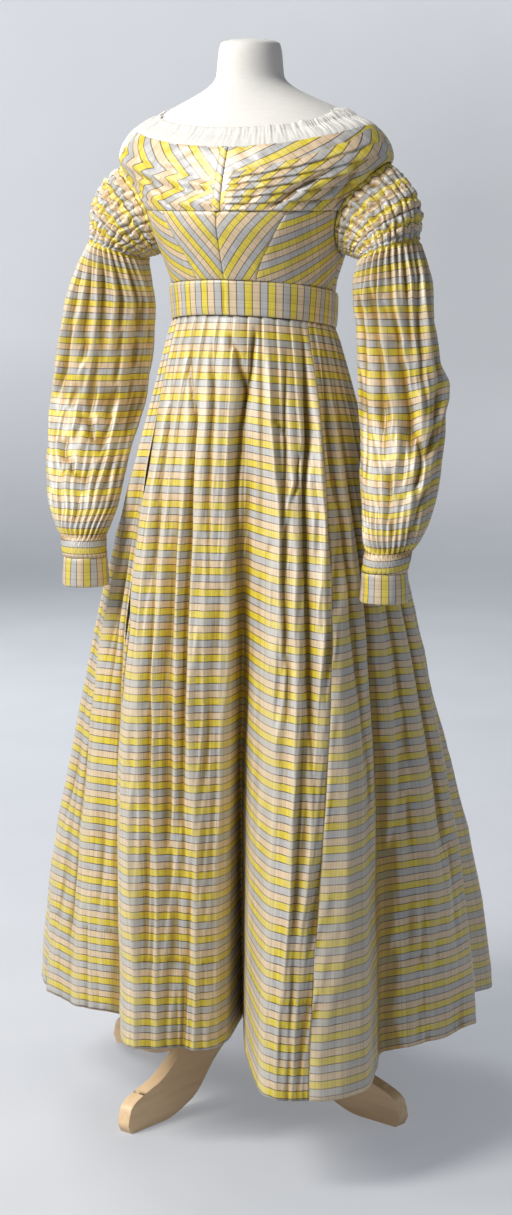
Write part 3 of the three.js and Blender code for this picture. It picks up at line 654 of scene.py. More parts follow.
# %% The creases of the skirt, by the fraction of the way down and the waist angle
SKIRT_CREASES = [
    # the front and the wearer's right
    ([(0.01, -28.5), (0.16, -15), (0.23, -14), (0.32, -12.5), (0.62, -13), (0.8, -12)], -11, 2.2, 1.5),
    ([(0.10, -11), (0.33, -10), (0.7, -8)], 5.0, 2.2, 1.8),
    ([(0.22, -20), (0.45, -21), (0.9, -20)], -5.0, 3.5, 1.7),
    ([(0.02, 1.5), (0.06, 10), (0.105, 15), (0.16, 12), (0.23, 11), (0.45, 13)], -13, 2.4, 1.4),
    ([(0.01, 20.5), (0.06, 18.5), (0.12, 16)], -8, 1.6, 1.5),
    ([(0.02, -9), (0.14, -4), (0.4, -1)], -6, 1.6, 1.5),
    ([(0.02, -40), (0.2, -33), (0.45, -30), (0.7, -31)], -6, 2.0, 1.6),
    ([(0.06, -47), (0.3, -47.5), (0.6, -47)], -7, 1.8, 1.6),
    ([(0.02, -60), (0.2, -60), (0.5, -61)], -6, 2.2, 1.6),
    ([(0.10, -68), (0.35, -67), (0.8, -66)], 5, 2.6, 1.7),
    ([(0.35, -33), (0.6, -35), (0.95, -36)], 3.0, 2.4, 1.7),
    # the great fold and the wearer's left
    ([(0.01, 55.5), (0.13, 52.5), (0.24, 48), (0.32, 48), (0.46, 50), (0.57, 53), (0.66, 56)], -12, 2.2, 1.4),
    ([(0.03, 60), (0.2, 57), (0.42, 55), (0.6, 58)], 5.0, 2.4, 1.8),
    ([(0.01, 69.5), (0.19, 66), (0.30, 68), (0.38, 70), (0.52, 72), (0.66, 74)], -10, 2.2, 1.5),
    ([(0.02, 41), (0.14, 38), (0.34, 36), (0.55, 40)], -5.5, 1.9, 1.6),
    ([(0.02, 29), (0.12, 29), (0.28, 33), (0.5, 36)], 5.5, 2.0, 1.8),
    ([(0.16, 44), (0.4, 42), (0.7, 44), (0.95, 45)], 3.5, 2.6, 1.8),
    ([(0.50, 48), (0.75, 50), (1.05, 50)], -3.5, 3.0, 1.8),
    ([(0.02, 78), (0.25, 77), (0.5, 79), (0.8, 81)], -7, 2.0, 1.6),
    ([(0.02, 91), (0.3, 92), (0.7, 91)], -6, 2.2, 1.6),
    ([(0.05, 103), (0.4, 104), (0.8, 103)], -6, 2.2, 1.6),
    ([(0.10, 85), (0.4, 84), (0.75, 85)], 4, 2.0, 1.8),
    # short soft dents across the great fold
    ([(0.135, 30), (0.150, 36), (0.158, 43)], -2.2, 1.6, 1.8),
    ([(0.165, 47), (0.21, 44), (0.25, 40)], -3.0, 1.3, 1.7),
    ([(0.20, 42), (0.26, 37), (0.30, 35)], 2.6, 1.2, 1.8),
    ([(0.29, 30), (0.33, 27), (0.37, 26)], -2.4, 1.3, 1.8),
]
BACK_CREASES = [
    ([(0.02 + 0.04 * (i % 3), waist + 2 * (i % 2)), (0.3, waist),
      (0.45 + 0.12 * ((i * 7) % 4), waist - 1.5)],
     -5.0 - 2.0 * ((i * 5) % 3), 1.8 + 0.3 * (i % 3), 1.6)
    for i, waist in enumerate(range(116, 246, 9))
]
print("creases:", len(SKIRT_CREASES), "in front,", len(BACK_CREASES), "behind")


# %% Where a point of the skirt lies
@lru_cache(None)
def skirt_column(waist):
    """What stays the same down one thread of the skirt."""
    top = around(WAIST["side"], WAIST["front"], WAIST["back"], waist, 0)
    start = math.degrees(math.atan2(top.x, -top.y))
    start += 360 * round((waist - start) / 360)
    hem = fold_at(waist, 1)
    base = around(HEM["side"], HEM["front"], HEM["back"], hem, 0).length
    high = belt_edge(waist, BELT["low"]) - SEAM
    return top.length, start, high, hem, base, fold_at(waist, 2), fold_at(waist, 3)


def pleat_profile(waist):
    """A knife pleat: 1 at its folded edge, falling slowly to -1 under the next pleat's edge."""
    place_in = (waist * PLEATS / 360 + 0.5) % 1
    place_in = place_in if waist % 360 < 180 else 1 - place_in
    return 1 - 2 * place_in ** 1.2 if place_in > 0.08 else lerp(-1, 0.9, place_in / 0.08)


def skirt_relief(waist, t):
    """How far the cloth stands out from the large folds, in millimetres."""
    which = round(waist * PLEATS / 360)
    depth = 0.25 + 1.5 * chance(which, 2)
    reach = 0.6 + 1.3 * chance(which, 5)
    pleats = PLEAT_DEPTHS(min(t / reach, 0.8), 1) * 0.5 * depth * pleat_profile(waist)
    creases = crease_depth(SKIRT_CREASES, t, waist if waist < 180 else waist - 360)
    creases += crease_depth(BACK_CREASES, t, waist % 360)
    long_folds = 0.28 - abs(noise.noise(Vector((waist * 0.095, t * 1.9, 1.3))))
    soft = long_folds * SKIRT_RELIEF["long_folds"] * smooth(t, 0.06, 0.4)
    crumples = 0.25 - abs(noise.noise(Vector((waist * 0.19 + t * 5.0, t * 6.0, 7.7))))
    soft += crumples * SKIRT_RELIEF["crumples"] * smooth(t, 0.10, 0.35)
    fine = noise.noise(Vector((waist * 0.6, t * 13.0, 3.1)))
    soft += fine * SKIRT_RELIEF["fine"] * smooth(t, 0.05, 0.3)
    return pleats + SKIRT_RELIEF["creases"] * creases * smooth(t, 0.0, 0.05) + soft


def skirt_point(waist, t):
    across, start, high, hem, base, reach, lift = skirt_column(waist)
    bell = 1 - (1 - t) ** HEM["bell"]
    radius = lerp(across, base, bell) + (reach - base) * t ** HEM["fold"] + skirt_relief(waist, t)
    a = math.radians(lerp(start, hem, bell))
    return Vector((radius * math.sin(a), -radius * math.cos(a), lerp(high, lift, t)))


# %% The five widths
WIDTHS = [
    # name, waist angles of its two seams, where its stripes start at the waist
    ("front", -50, 60, 0.0095), ("side_left", 60, 120, 0.0215), ("back_left", 120, 180, 0.0130),
    ("back_right", 180, 240, 0.0040), ("side_right", 240, 310, 0.0180),
]
SKIRT_GRID = {"columns_a_pleat": 14, "rows": 172}
WAIST_MM_A_DEGREE = 4.2
VALLEY = {"shown": 0.030, "open_by": 0.75, "starts": 0.36, "wide": 0.14}  # of a pleat, near the waist
FACING = 0.118  # height of the hem's facing above its edge, in metres of cloth
PUCKER = 0.011  # metres from one pucker to the next


def skirt_width(name, first, last, start):
    pleats = (last - first) * PLEATS // 360
    columns = pleats * SKIRT_GRID["columns_a_pleat"]
    hem_line = [to_room(skirt_point(lerp(first, last, i / columns), 1.0)) for i in range(columns + 1)]
    cut = sum((b - a).length for a, b in zip(hem_line, hem_line[1:]))

    @lru_cache(None)
    def threads_across(column, down):
        """Metres of fabric from the seam: much of it is hidden in the valleys near the waist."""
        s = column / columns
        pitch = cut / pleats
        shown = lerp(VALLEY["shown"], pitch, smooth(down, 0.0, VALLEY["open_by"]))
        place_in = s * pleats + 0.5 + first * PLEATS / 360
        whole = math.floor(place_in)
        part = place_in - whole - 0.5
        hidden = max(0.0, (abs(part) - VALLEY["starts"]) / VALLEY["wide"]) ** 1.5 * 0.5
        return whole * pitch + part * shown + math.copysign(hidden, part) * (pitch - shown)

    def place(s, t):
        edge = SEAM / 2 / (WAIST_MM_A_DEGREE * (last - first))
        waist = lerp(first, last, min(max(s, edge), 1 - edge))
        return skirt_point(round(waist, 4), round(1 - t, 5))

    def fabric(s, t):
        down = 1 - t
        return (threads_across(round(s * columns), round(down, 4)), start + down * SKIRT_LENGTH)

    def puckers(s, t):
        """The hem's turned edge and the row of puckers where its facing is sewn on."""
        up = t * SKIRT_LENGTH
        row = math.exp(-(((up - FACING) / 0.0035) ** 2))
        stitch = 0.45 * math.cos(math.tau * s * cut / PUCKER)
        edge_roll = 0.7 * math.exp(-((up / 0.006) ** 2))
        seam_dip = -0.8 * (math.exp(-((s * cut / 0.004) ** 2)) + math.exp(-(((1 - s) * cut / 0.004) ** 2)))
        return row * (stitch - 0.6) + edge_roll + seam_dip

    piece = lay_cloth(f"silk_skirt_{name}", columns, SKIRT_GRID["rows"], place, fabric, puckers)
    finish_piece(piece, taffeta, "silk_stripe", f"skirt_{name}")
    print(f"  cut {cut:.3f} m wide, {pleats} pleats")


for width in WIDTHS:
    skirt_width(*width)

# %% [markdown]
# ## Bodice
#
# The bodice is cut in small panels. The centre fronts and the pleated upper fronts lie on
# the bias, so their stripes meet in arrow heads at the centre front; the side fronts and
# backs are cut nearly level. Each panel is a grid between its own seams, and its map
# turns the fabric's grain to the angle of its cut.

# %% Measuring round the body
ARC = [0.0]
for degree in range(180):
    step = bodice_point(degree + 1, 1200) - bodice_point(degree, 1200)
    ARC.append(ARC[-1] + step.length * MM)


def arc(degrees):
    """Metres of cloth from the centre front round to an angle."""
    whole = min(int(degrees), 179)
    return lerp(ARC[whole], ARC[whole + 1], degrees - whole)


# How much longer the cloth is than the height it covers, and where in the repeat each cut starts.
EASE = {"panel": 1.04, "drape": 1.08, "sleeve": 1.14}
STARTS = {"centre": 0.0545, "side": 0.063, "back": 0.058, "drape": 0.0555}


def on_bias(x, y, rise):
    """The fabric's map for cloth laid with its stripes rising outwards by an angle."""
    a = math.radians(rise)
    return math.cos(a) * x + math.sin(a) * y, math.cos(a) * y - math.sin(a) * x


def over_belt(degrees):
    return belt_edge(degrees, BELT["high"]) + SEAM


def dart(z):
    return lerp(DART["low"], DART["high"], smooth(z, BELT["high"], DRAPE_LOW + DART["over"]))


def armhole_front(z):
    return ARMHOLE["angle"] - armhole_spread(z)


def armhole_back(z):
    return ARMHOLE["angle"] + armhole_spread(z)


print("half the bodice is", round(ARC[-1], 3), "m round")


# %% Panels between two seams
def panel_place(side, low, high, first, last, gap=0.35):
    """place(s, t) for a panel between two seams and two edges, with its seam gap."""
    @lru_cache(None)
    def where(s, t):
        z = high(ARMHOLE["angle"])
        for _ in range(8):
            degrees = lerp(first(z), last(z), s)
            z = lerp(low(degrees), high(degrees), t)
        return degrees, z

    def place(s, t):
        degrees, z = where(round(s, 5), round(t, 5))
        inset = gap / 2.2
        degrees = min(max(degrees, first(z) + inset * 0.5), last(z) - inset * 0.5)
        p = bodice_point(degrees, z)
        return Vector((side * p.x, p.y, p.z))

    return place, where


def seam_dips(s, t, wide, tall, deep=0.9, reach=0.0035):
    """Cloth sinks a little where it is sewn down along its four edges."""
    across = min(s, 1 - s) * wide
    along = min(t, 1 - t) * tall
    return -deep * (math.exp(-((across / reach) ** 2)) + math.exp(-((along / reach) ** 2)))


def bodice_panel(kind, side, rows, columns, low, high, first, last, cut, grain_of, extra=None):
    wide, tall, area = cut
    name = f"{kind}_{'left' if side > 0 else 'right'}"
    place, where = panel_place(side, low, high, first, last)

    def fabric(s, t):
        degrees, z = where(round(s, 5), round(t, 5))
        return grain_of(arc(degrees), (z - DRAPE_LOW) * MM * EASE["panel"])

    def relief(s, t):
        degrees, z = where(round(s, 5), round(t, 5))
        pull = noise.noise(Vector((degrees * 0.09 * side, z * 0.035, 2.0 + side))) * 0.9
        dips = seam_dips(s, t, wide, tall)
        return dips + pull * 0.8 + (extra(degrees, z, side) if extra else 0.0)

    piece = lay_cloth(f"silk_{name}", columns, rows, place, fabric, relief)
    finish_piece(piece, taffeta, "silk_stripe", f"bodice_{name}")


def centre_grain(x, y):
    return on_bias(x, y + STARTS["centre"], 51)


def side_grain(x, y):
    """Nearly level by the dart, leaning more towards the arm."""
    out = x - 0.05
    return on_bias(out, y + STARTS["side"] - 0.05 * max(0.0, -y) * 2 * out / 0.1, 9 + 110 * max(0.0, out))


def darned(degrees, z, side):
    """Two slanting rows of puckers, as mending leaves, on the wearer's left."""
    if side < 0:
        return 0.0
    total = 0.0
    for low_z in (1183, 1172):
        line = low_z + 0.42 * (degrees - 42) * 1.9
        along = (degrees - 44) / 17
        if 0 < along < 1:
            near = math.exp(-(((z - line) / 2.6) ** 2))
            total += near * (0.55 * math.cos(degrees * 3.4) - 0.35) * math.sin(math.pi * along)
    return total


under = DRAPE_LOW - SEAM / 2
for side in (1, -1):
    bodice_panel("centre", side, 60, 40, over_belt, lambda d: under,
                 lambda z: 0.0, dart, (0.098, 0.112, 0.0066), centre_grain)
    bodice_panel("side", side, 60, 64, over_belt, lambda d: under,
                 dart, armhole_front, (0.140, 0.112, 0.0124), side_grain, darned)

# %% The pleated upper fronts
BUST = {"pleats": 6, "top": 0.57, "fan": 2.3, "most": 0.95, "raise": 2.8, "height": 0.086}
ZIGZAG = [  # from, to (0 to 1 up the pleated part), which way and how fast the cloth runs
    (-1, 0.16, 1.0), (0.16, 0.50, -2.2), (0.50, 0.66, 1.0), (0.66, 0.82, -2.0), (0.82, 9, 1.0),
]
ZIGZAG_RIDGES = read_table([(0, 0), (0.16, 1.3), (0.5, -0.7), (0.66, 1.3), (0.82, -0.6), (1, 0)])


def fold_of(degrees, z):
    """How far up the pleated part a place lies (0 to 1): the pleats fan out from the centre."""
    up = (z - DRAPE_LOW) / (neckline(degrees) - DRAPE_LOW)
    top = min(BUST["top"] + BUST["fan"] * arc(degrees), BUST["most"])
    return up / top + 0.025 * noise.noise(Vector((degrees * 0.14, up * 3.0, 8.0)))


def zigzag_cloth(part):
    """Where the folds lie across the grain, the stripes turn back at each edge."""
    turned = sum(turn * (min(max(part, low), high) - low) for low, high, turn in ZIGZAG)
    return turned * BUST["top"] * BUST["height"]


# How far a stripe over the wearer's left bust has risen, by metres from the centre front.
RISE = {
    "pleated": read_table([
        (0, 0), (0.04, 0.074), (0.08, 0.142), (0.12, 0.200), (0.16, 0.250), (0.3, 0.39)]),
    "plain": read_table([
        (0, 0), (0.05, 0.036), (0.10, 0.070), (0.15, 0.099), (0.2, 0.118), (0.3, 0.14)]),
}
SHIFTS = [0, 0.0048, 0.0012, 0.0068, 0.0028, 0.0080, 0.0042]  # how far each pleat sets the stripes off


def drape_cloth(degrees, z, side):
    part = fold_of(degrees, z)
    x = arc(degrees)
    if side < 0:
        part += 0.07 * noise.noise(Vector((x * 30, part * 2, 3.0))) * smooth(x, 0.02, 0.06)
        a = math.radians(lerp(50, 40, smooth(x, 0.0, 0.12)))
        flat_y = zigzag_cloth(part)
        down = math.cos(a) * flat_y - math.sin(a) * x
        return math.cos(a) * x + math.sin(a) * flat_y, down + STARTS["drape"]
    which = math.floor(part * BUST["pleats"])
    y = (z - DRAPE_LOW) * MM * EASE["drape"]
    kind, across = ("pleated", 0.52) if which < BUST["pleats"] else ("plain", 0.80)
    folded = min(max(which, 0), BUST["pleats"])
    down = across * (y - RISE[kind](x, 1)) + SHIFTS[folded]
    return 0.7 * (x + y), down + STARTS["drape"]


DRAPE_CREASES = [  # long soft dents along the bias, by height and angle, as on the skirt
    ([(1222, 27), (1243, 35), (1262, 43), (1276, 49)], -6.5, 2.6, 1.4),
    ([(1228, 33), (1246, 41), (1264, 49)], 2.2, 3.0, 1.7),
    ([(1224, 12), (1240, 18), (1258, 26)], -1.6, 2.4, 1.6),
    ([(1228, 48), (1250, 58), (1270, 64)], -2.6, 3.0, 1.6),
    ([(1226, 66), (1250, 66), (1284, 63)], -3.4, 3.0, 1.5),
    ([(1224, 73), (1250, 73), (1282, 71)], 3.4, 3.2, 1.7),
]


def drape_panel(side):
    place, where = panel_place(side, lambda d: DRAPE_LOW + SEAM / 2, neckline, lambda z: 0.0, armhole_front)

    def fabric(s, t):
        degrees, z = where(round(s, 5), round(t, 5))
        return drape_cloth(degrees, z, side)

    def relief(s, t):
        degrees, z = where(round(s, 5), round(t, 5))
        part = fold_of(degrees, z)
        which = math.floor(part * BUST["pleats"])
        inside = part * BUST["pleats"] - which
        fade = smooth(degrees, 3, 8) * (1 - smooth(degrees, 60, 76))
        folds = 0.0
        if side < 0:
            folds = ZIGZAG_RIDGES(min(max(part, 0), 1), 1)
        elif 0 <= which < BUST["pleats"]:
            uneven = 0.6 + 0.9 * chance(which + 9, round(degrees / 11))
            folds = BUST["raise"] * uneven * smooth(inside, 0.0, 0.16) * (1 - inside) ** 0.8
        crumples = noise.noise(Vector((degrees * 0.16 * side + z * 0.02, z * 0.09, 4.0))) * 1.5
        dents = crease_depth(DRAPE_CREASES, z, degrees) * (1.0 if side > 0 else 0.7)
        return (folds + crumples) * fade + dents + seam_dips(s, t, 0.2, 0.1, 0.7)

    name = "left" if side > 0 else "right"
    piece = lay_cloth(f"silk_drape_{name}", 120, 96, place, fabric, relief)
    finish_piece(piece, taffeta, "silk_stripe", f"bodice_drape_{name}")


for side in (1, -1):
    drape_panel(side)


# %% The backs and the band on the centre front
def back_grain(x, y):
    return on_bias(x, y + STARTS["back"], -4)


def back_folds(degrees, z, side):
    away = (180 - degrees) * side
    lap = 0.8 * math.exp(-(((180 - degrees) / 1.6) ** 2)) * (1 if side > 0 else -0.4)
    pull = -1.3 * math.exp(-(((away * side - 46 - (z - 1200) * 0.12) / 4.5) ** 2))
    return lap + pull * smooth(z, 1120, 1180)


for side in (1, -1):
    bodice_panel("back", side, 90, 80, over_belt, neckline,
                 armhole_back, lambda z: 180.0, (0.225, 0.235, 0.0435), back_grain, back_folds)


def band_place(s, t):
    z = lerp(DRAPE_LOW, neckline(0), t)
    sine = (s - 0.5) * 2 * 5.5 / bodice_at(z, 1)
    return bodice_point(math.degrees(math.asin(sine)), z, 1.3)


def band_fabric(s, t):
    return on_bias((1 - s) * 0.011, t * 0.1, 44)


band = lay_cloth("silk_band", 10, 60, band_place, band_fabric,
                 lambda s, t: -0.9 * (2 * abs(s - 0.5)) ** 3 + 0.2 * math.sin(t * 40))
finish_piece(band, taffeta, "silk_stripe", "bodice_band")

# %% [markdown]
# ## Belt and cuffs
#
# Belt and cuffs are strips cut the other way of the cloth, so their stripes stand
# upright. The belt closes at the centre front, where its end makes a soft upright crease.

# %% The belt
BELT_ROUND = 0.652


def belt_place(s, t):
    level = lerp(BELT["low"], BELT["high"], t)
    degrees = 360 * s - 180
    z = belt_edge(degrees, level)
    return around(BELT["side"], BELT["front"], BELT["back"], degrees, z, BELT["flare"] * t)


def belt_fabric(s, t):
    return t * 0.046, 0.0055 - (s - 0.5) * BELT_ROUND


def belt_relief(s, t):
    turned = (s - 0.5) * 360
    crease = 1.1 * math.exp(-(((turned - 1.5) / 1.4) ** 2)) - 1.3 * math.exp(-(((turned + 0.9) / 0.9) ** 2))
    crease *= 0.45 + 0.55 * math.sin(3.0 * t + 0.6)
    wave = noise.noise(on_ring(s, 3, t * 1.5)) * 1.5
    edges = -1.1 * (math.exp(-((t / 0.05) ** 2)) + math.exp(-(((1 - t) / 0.05) ** 2)))
    return crease + wave + edges


belt = lay_cloth("silk_belt", 360, 26, belt_place, belt_fabric, belt_relief, round_it=True, wall=1.4)
finish_piece(belt, taffeta, "silk_upright", "belt")

# %% The cuffs
CUFF = {"high": 761, "low": 722, "half": 30, "flare": 2, "cloth": 0.031}
WRIST = {1: (232, 106), -1: (190, 135)}  # out from the middle, in front of it


def cuff(side):
    out, fore = WRIST[side]
    length = math.tau * CUFF["cloth"]

    def place(s, t):
        a = math.tau * s
        radius = CUFF["half"] + CUFF["flare"] * (1 - t)
        return Vector((side * (out + radius * math.sin(a)), -fore + radius * math.cos(a),
                       lerp(CUFF["low"], CUFF["high"] - 0.2, t)))

    def fabric(s, t):
        return t * 0.039, 0.004 - side * s * length

    def relief(s, t):
        soft = noise.noise(on_ring(s, 1.6, t + side)) * 1.6
        edges = -0.9 * (math.exp(-((t / 0.05) ** 2)) + math.exp(-(((1 - t) / 0.05) ** 2)))
        return soft + edges

    name = "left" if side > 0 else "right"
    piece = lay_cloth(f"silk_cuff_{name}", 120, 24, place, fabric, relief,
                      round_it=True, round_pole=False, wall=1.4)
    finish_piece(piece, taffeta, "silk_upright", f"cuff_{name}")


for side in (1, -1):
    cuff(side)

# %% [markdown]
# ## Sleeves
#
# Each sleeve is one wide piece. Rows of smocking draw its head into small puffs that sit
# between each other like bricks; below, the spare cloth opens into a full puff, and three
# more rows of gathers draw it into the cuff.

# %% The sleeve's rings
SLEEVE = [  # height, out, fore, across, along, turn, lean
    (761.3, 219, 78, 30, 29.5, 0, 0), (770, 221, 77, 29.5, 29, 0, 0), (778, 222, 76, 30.5, 29.5, 0, 0),
    (786, 223, 74, 30, 29, -5, 0), (803, 226, 70, 37, 34, -12, 0), (830, 229, 62, 47, 38, -22, 0),
    (870, 230, 52, 54, 42, -24, 0), (920, 228, 38, 61, 44, -24, 0), (980, 222, 24, 65, 44, -24, 0),
    (1040, 215, 20, 64, 42, -24, 0), (1095, 208, 20, 60, 39, -22, 0.04), (1135, 204, 15, 49, 45, -13, 0.16),
    (1160, 200, 11, 40, 49, -5, 0.28), (1172, 198, 8, 36, 50, 0, 0.35),
]
sleeve_at = read_table(SLEEVE)
FOREARM_HIGH = 970
HEAD = {"inset": 0.4, "bulge": 9, "upward": 0.35, "fuller": 1.15, "share": 0.40}
SMOCK = {"columns": 30, "rows": 7, "raise": 5.4, "wander": 0.55}
BELOW_SMOCK = {"pleats": 2.8, "half_pleats": 3.0}  # millimetres
WRIST_ROWS = {"columns": 30, "high": 790, "apart": 9.0, "raise": 2.2}
SLEEVE_FOLDS = {"soft": 10.0, "small": 5.5, 1: 2.0, -1: 1.3}  # the last two scale the creases by side
SLEEVE_GRID = (238, 152)


def sleeve_point(z, degrees, wrist, grow=0.0):
    a, turned = math.radians(degrees), math.radians(sleeve_at(z, 5))
    across = (sleeve_at(z, 3) + grow) * math.sin(a)
    along = (sleeve_at(z, 4) + grow) * math.cos(a)
    low = SLEEVE[0]
    pull = 1 - smooth(z, low[0], FOREARM_HIGH)
    x = sleeve_at(z, 1) + pull * (wrist[0] - low[1]) + across * math.cos(turned) - along * math.sin(turned)
    y = -sleeve_at(z, 2) - pull * (wrist[1] - low[2]) + across * math.sin(turned) + along * math.cos(turned)
    return Vector((x, y, z + sleeve_at(z, 6) * across))


# The armhole's edge, up the back and down the front, as a closed line of points.
EDGE = [bodice_point(armhole_back(z), z) for z in range(1166, 1285, 6)]
EDGE += [bodice_point(armhole_front(z), z) for z in range(1284, 1165, -6)]


@lru_cache(None)
def armhole_point(degrees, inset):
    """The place on the armhole's edge in a direction from its middle."""
    dy = ARMHOLE["half_depth"] * math.cos(math.radians(degrees))
    dz = ARMHOLE["half"] * math.sin(math.radians(degrees))
    for p, q in zip(EDGE, EDGE[1:] + EDGE[:1]):
        one = p.y * dz - (p.z - ARMHOLE["z"]) * dy
        two = q.y * dz - (q.z - ARMHOLE["z"]) * dy
        if one * two > 0 or one == two:
            continue
        if p.y * dy + (p.z - ARMHOLE["z"]) * dz <= 0:
            continue
        found = p.lerp(q, one / (one - two))
        middle = Vector((found.x, 0, ARMHOLE["z"]))
        return found + (middle - found).normalized() * inset
    raise ValueError(f"no armhole edge at {degrees}")


def head_point(w, degrees, wrist):
    start = armhole_point(degrees, HEAD["inset"])
    end = sleeve_point(SLEEVE[-1][0], degrees, wrist)
    outward = Vector((1, 0, HEAD["upward"])).normalized()
    lift = HEAD["bulge"] * math.sin(math.pi * w) * (HEAD["fuller"] + math.sin(math.radians(degrees)))
    return start.lerp(end, w) + outward * lift


# %% Folds of the two sleeves, by height and angle round the arm (0 behind, 90 outside)
SLEEVE_CREASES = {
    1: [
        ([(900, 128), (950, 136), (1010, 142), (1060, 148), (1120, 152)], -7.0, 9, 1.4),
        ([(860, 120), (905, 112), (950, 128)], -5.0, 7, 1.5),
        ([(900, 105), (960, 88), (1010, 80)], -3.6, 8, 1.6),
        ([(930, 96), (985, 70), (1030, 58)], 3.2, 8, 1.7),
        ([(980, 118), (1050, 112), (1130, 106)], -4.6, 7, 1.5),
        ([(1000, 78), (1070, 84), (1150, 88)], -4.0, 7, 1.5),
        ([(1040, 60), (1100, 56), (1155, 60)], -4.2, 7, 1.5),
        ([(900, 172), (1000, 176), (1140, 180)], -3.2, 9, 1.6),
        ([(860, 205), (980, 208), (1120, 202)], -2.6, 9, 1.6),
        ([(880, 160), (1000, 160), (1120, 166)], 2.6, 8, 1.8),
        ([(800, 150), (850, 158), (900, 160)], -3.6, 8, 1.5),
        ([(800, 112), (840, 104), (880, 92)], -3.8, 8, 1.5),
    ],
    -1: [
        ([(960, 130), (1040, 126), (1150, 120)], -4.2, 8, 1.5),
        ([(980, 96), (1060, 92), (1150, 92)], -4.6, 8, 1.5),
        ([(1010, 156), (1080, 152), (1150, 146)], -4.2, 7, 1.5),
        ([(900, 112), (1000, 112), (1120, 108)], 3.0, 8, 1.8),
        ([(880, 178), (1000, 176), (1140, 172)], -2.8, 8, 1.6),
        ([(1060, 70), (1110, 66), (1156, 66)], -4.0, 7, 1.5),
        ([(860, 146), (905, 150), (930, 160)], -3.6, 7, 1.6),
        ([(862, 170), (880, 160), (900, 146)], -3.0, 6, 1.6),
        ([(905, 190), (925, 182), (945, 168)], -2.8, 6, 1.6),
        ([(800, 108), (850, 104), (930, 100)], -4.0, 8, 1.5),
        ([(800, 140), (850, 136), (900, 132)], -3.8, 8, 1.5),
        ([(800, 172), (840, 176), (890, 182)], -3.4, 8, 1.5),
        ([(880, 205), (1000, 204), (1100, 202)], -2.6, 9, 1.6),
    ],
}
for side in (1, -1):  # behind and under the arm, where less shows, softer folds of the same kind
    SLEEVE_CREASES[side] += [
        ([(850 + 17 * (i % 3), a), (980, a + 5), (1090 + 19 * (i % 4), a + 2)],
         -3.0 - (i * 3 % 4) * 0.5, 8, 1.6)
        for i, a in enumerate((20, 44, 236, 262, 290, 322, 346))
    ]


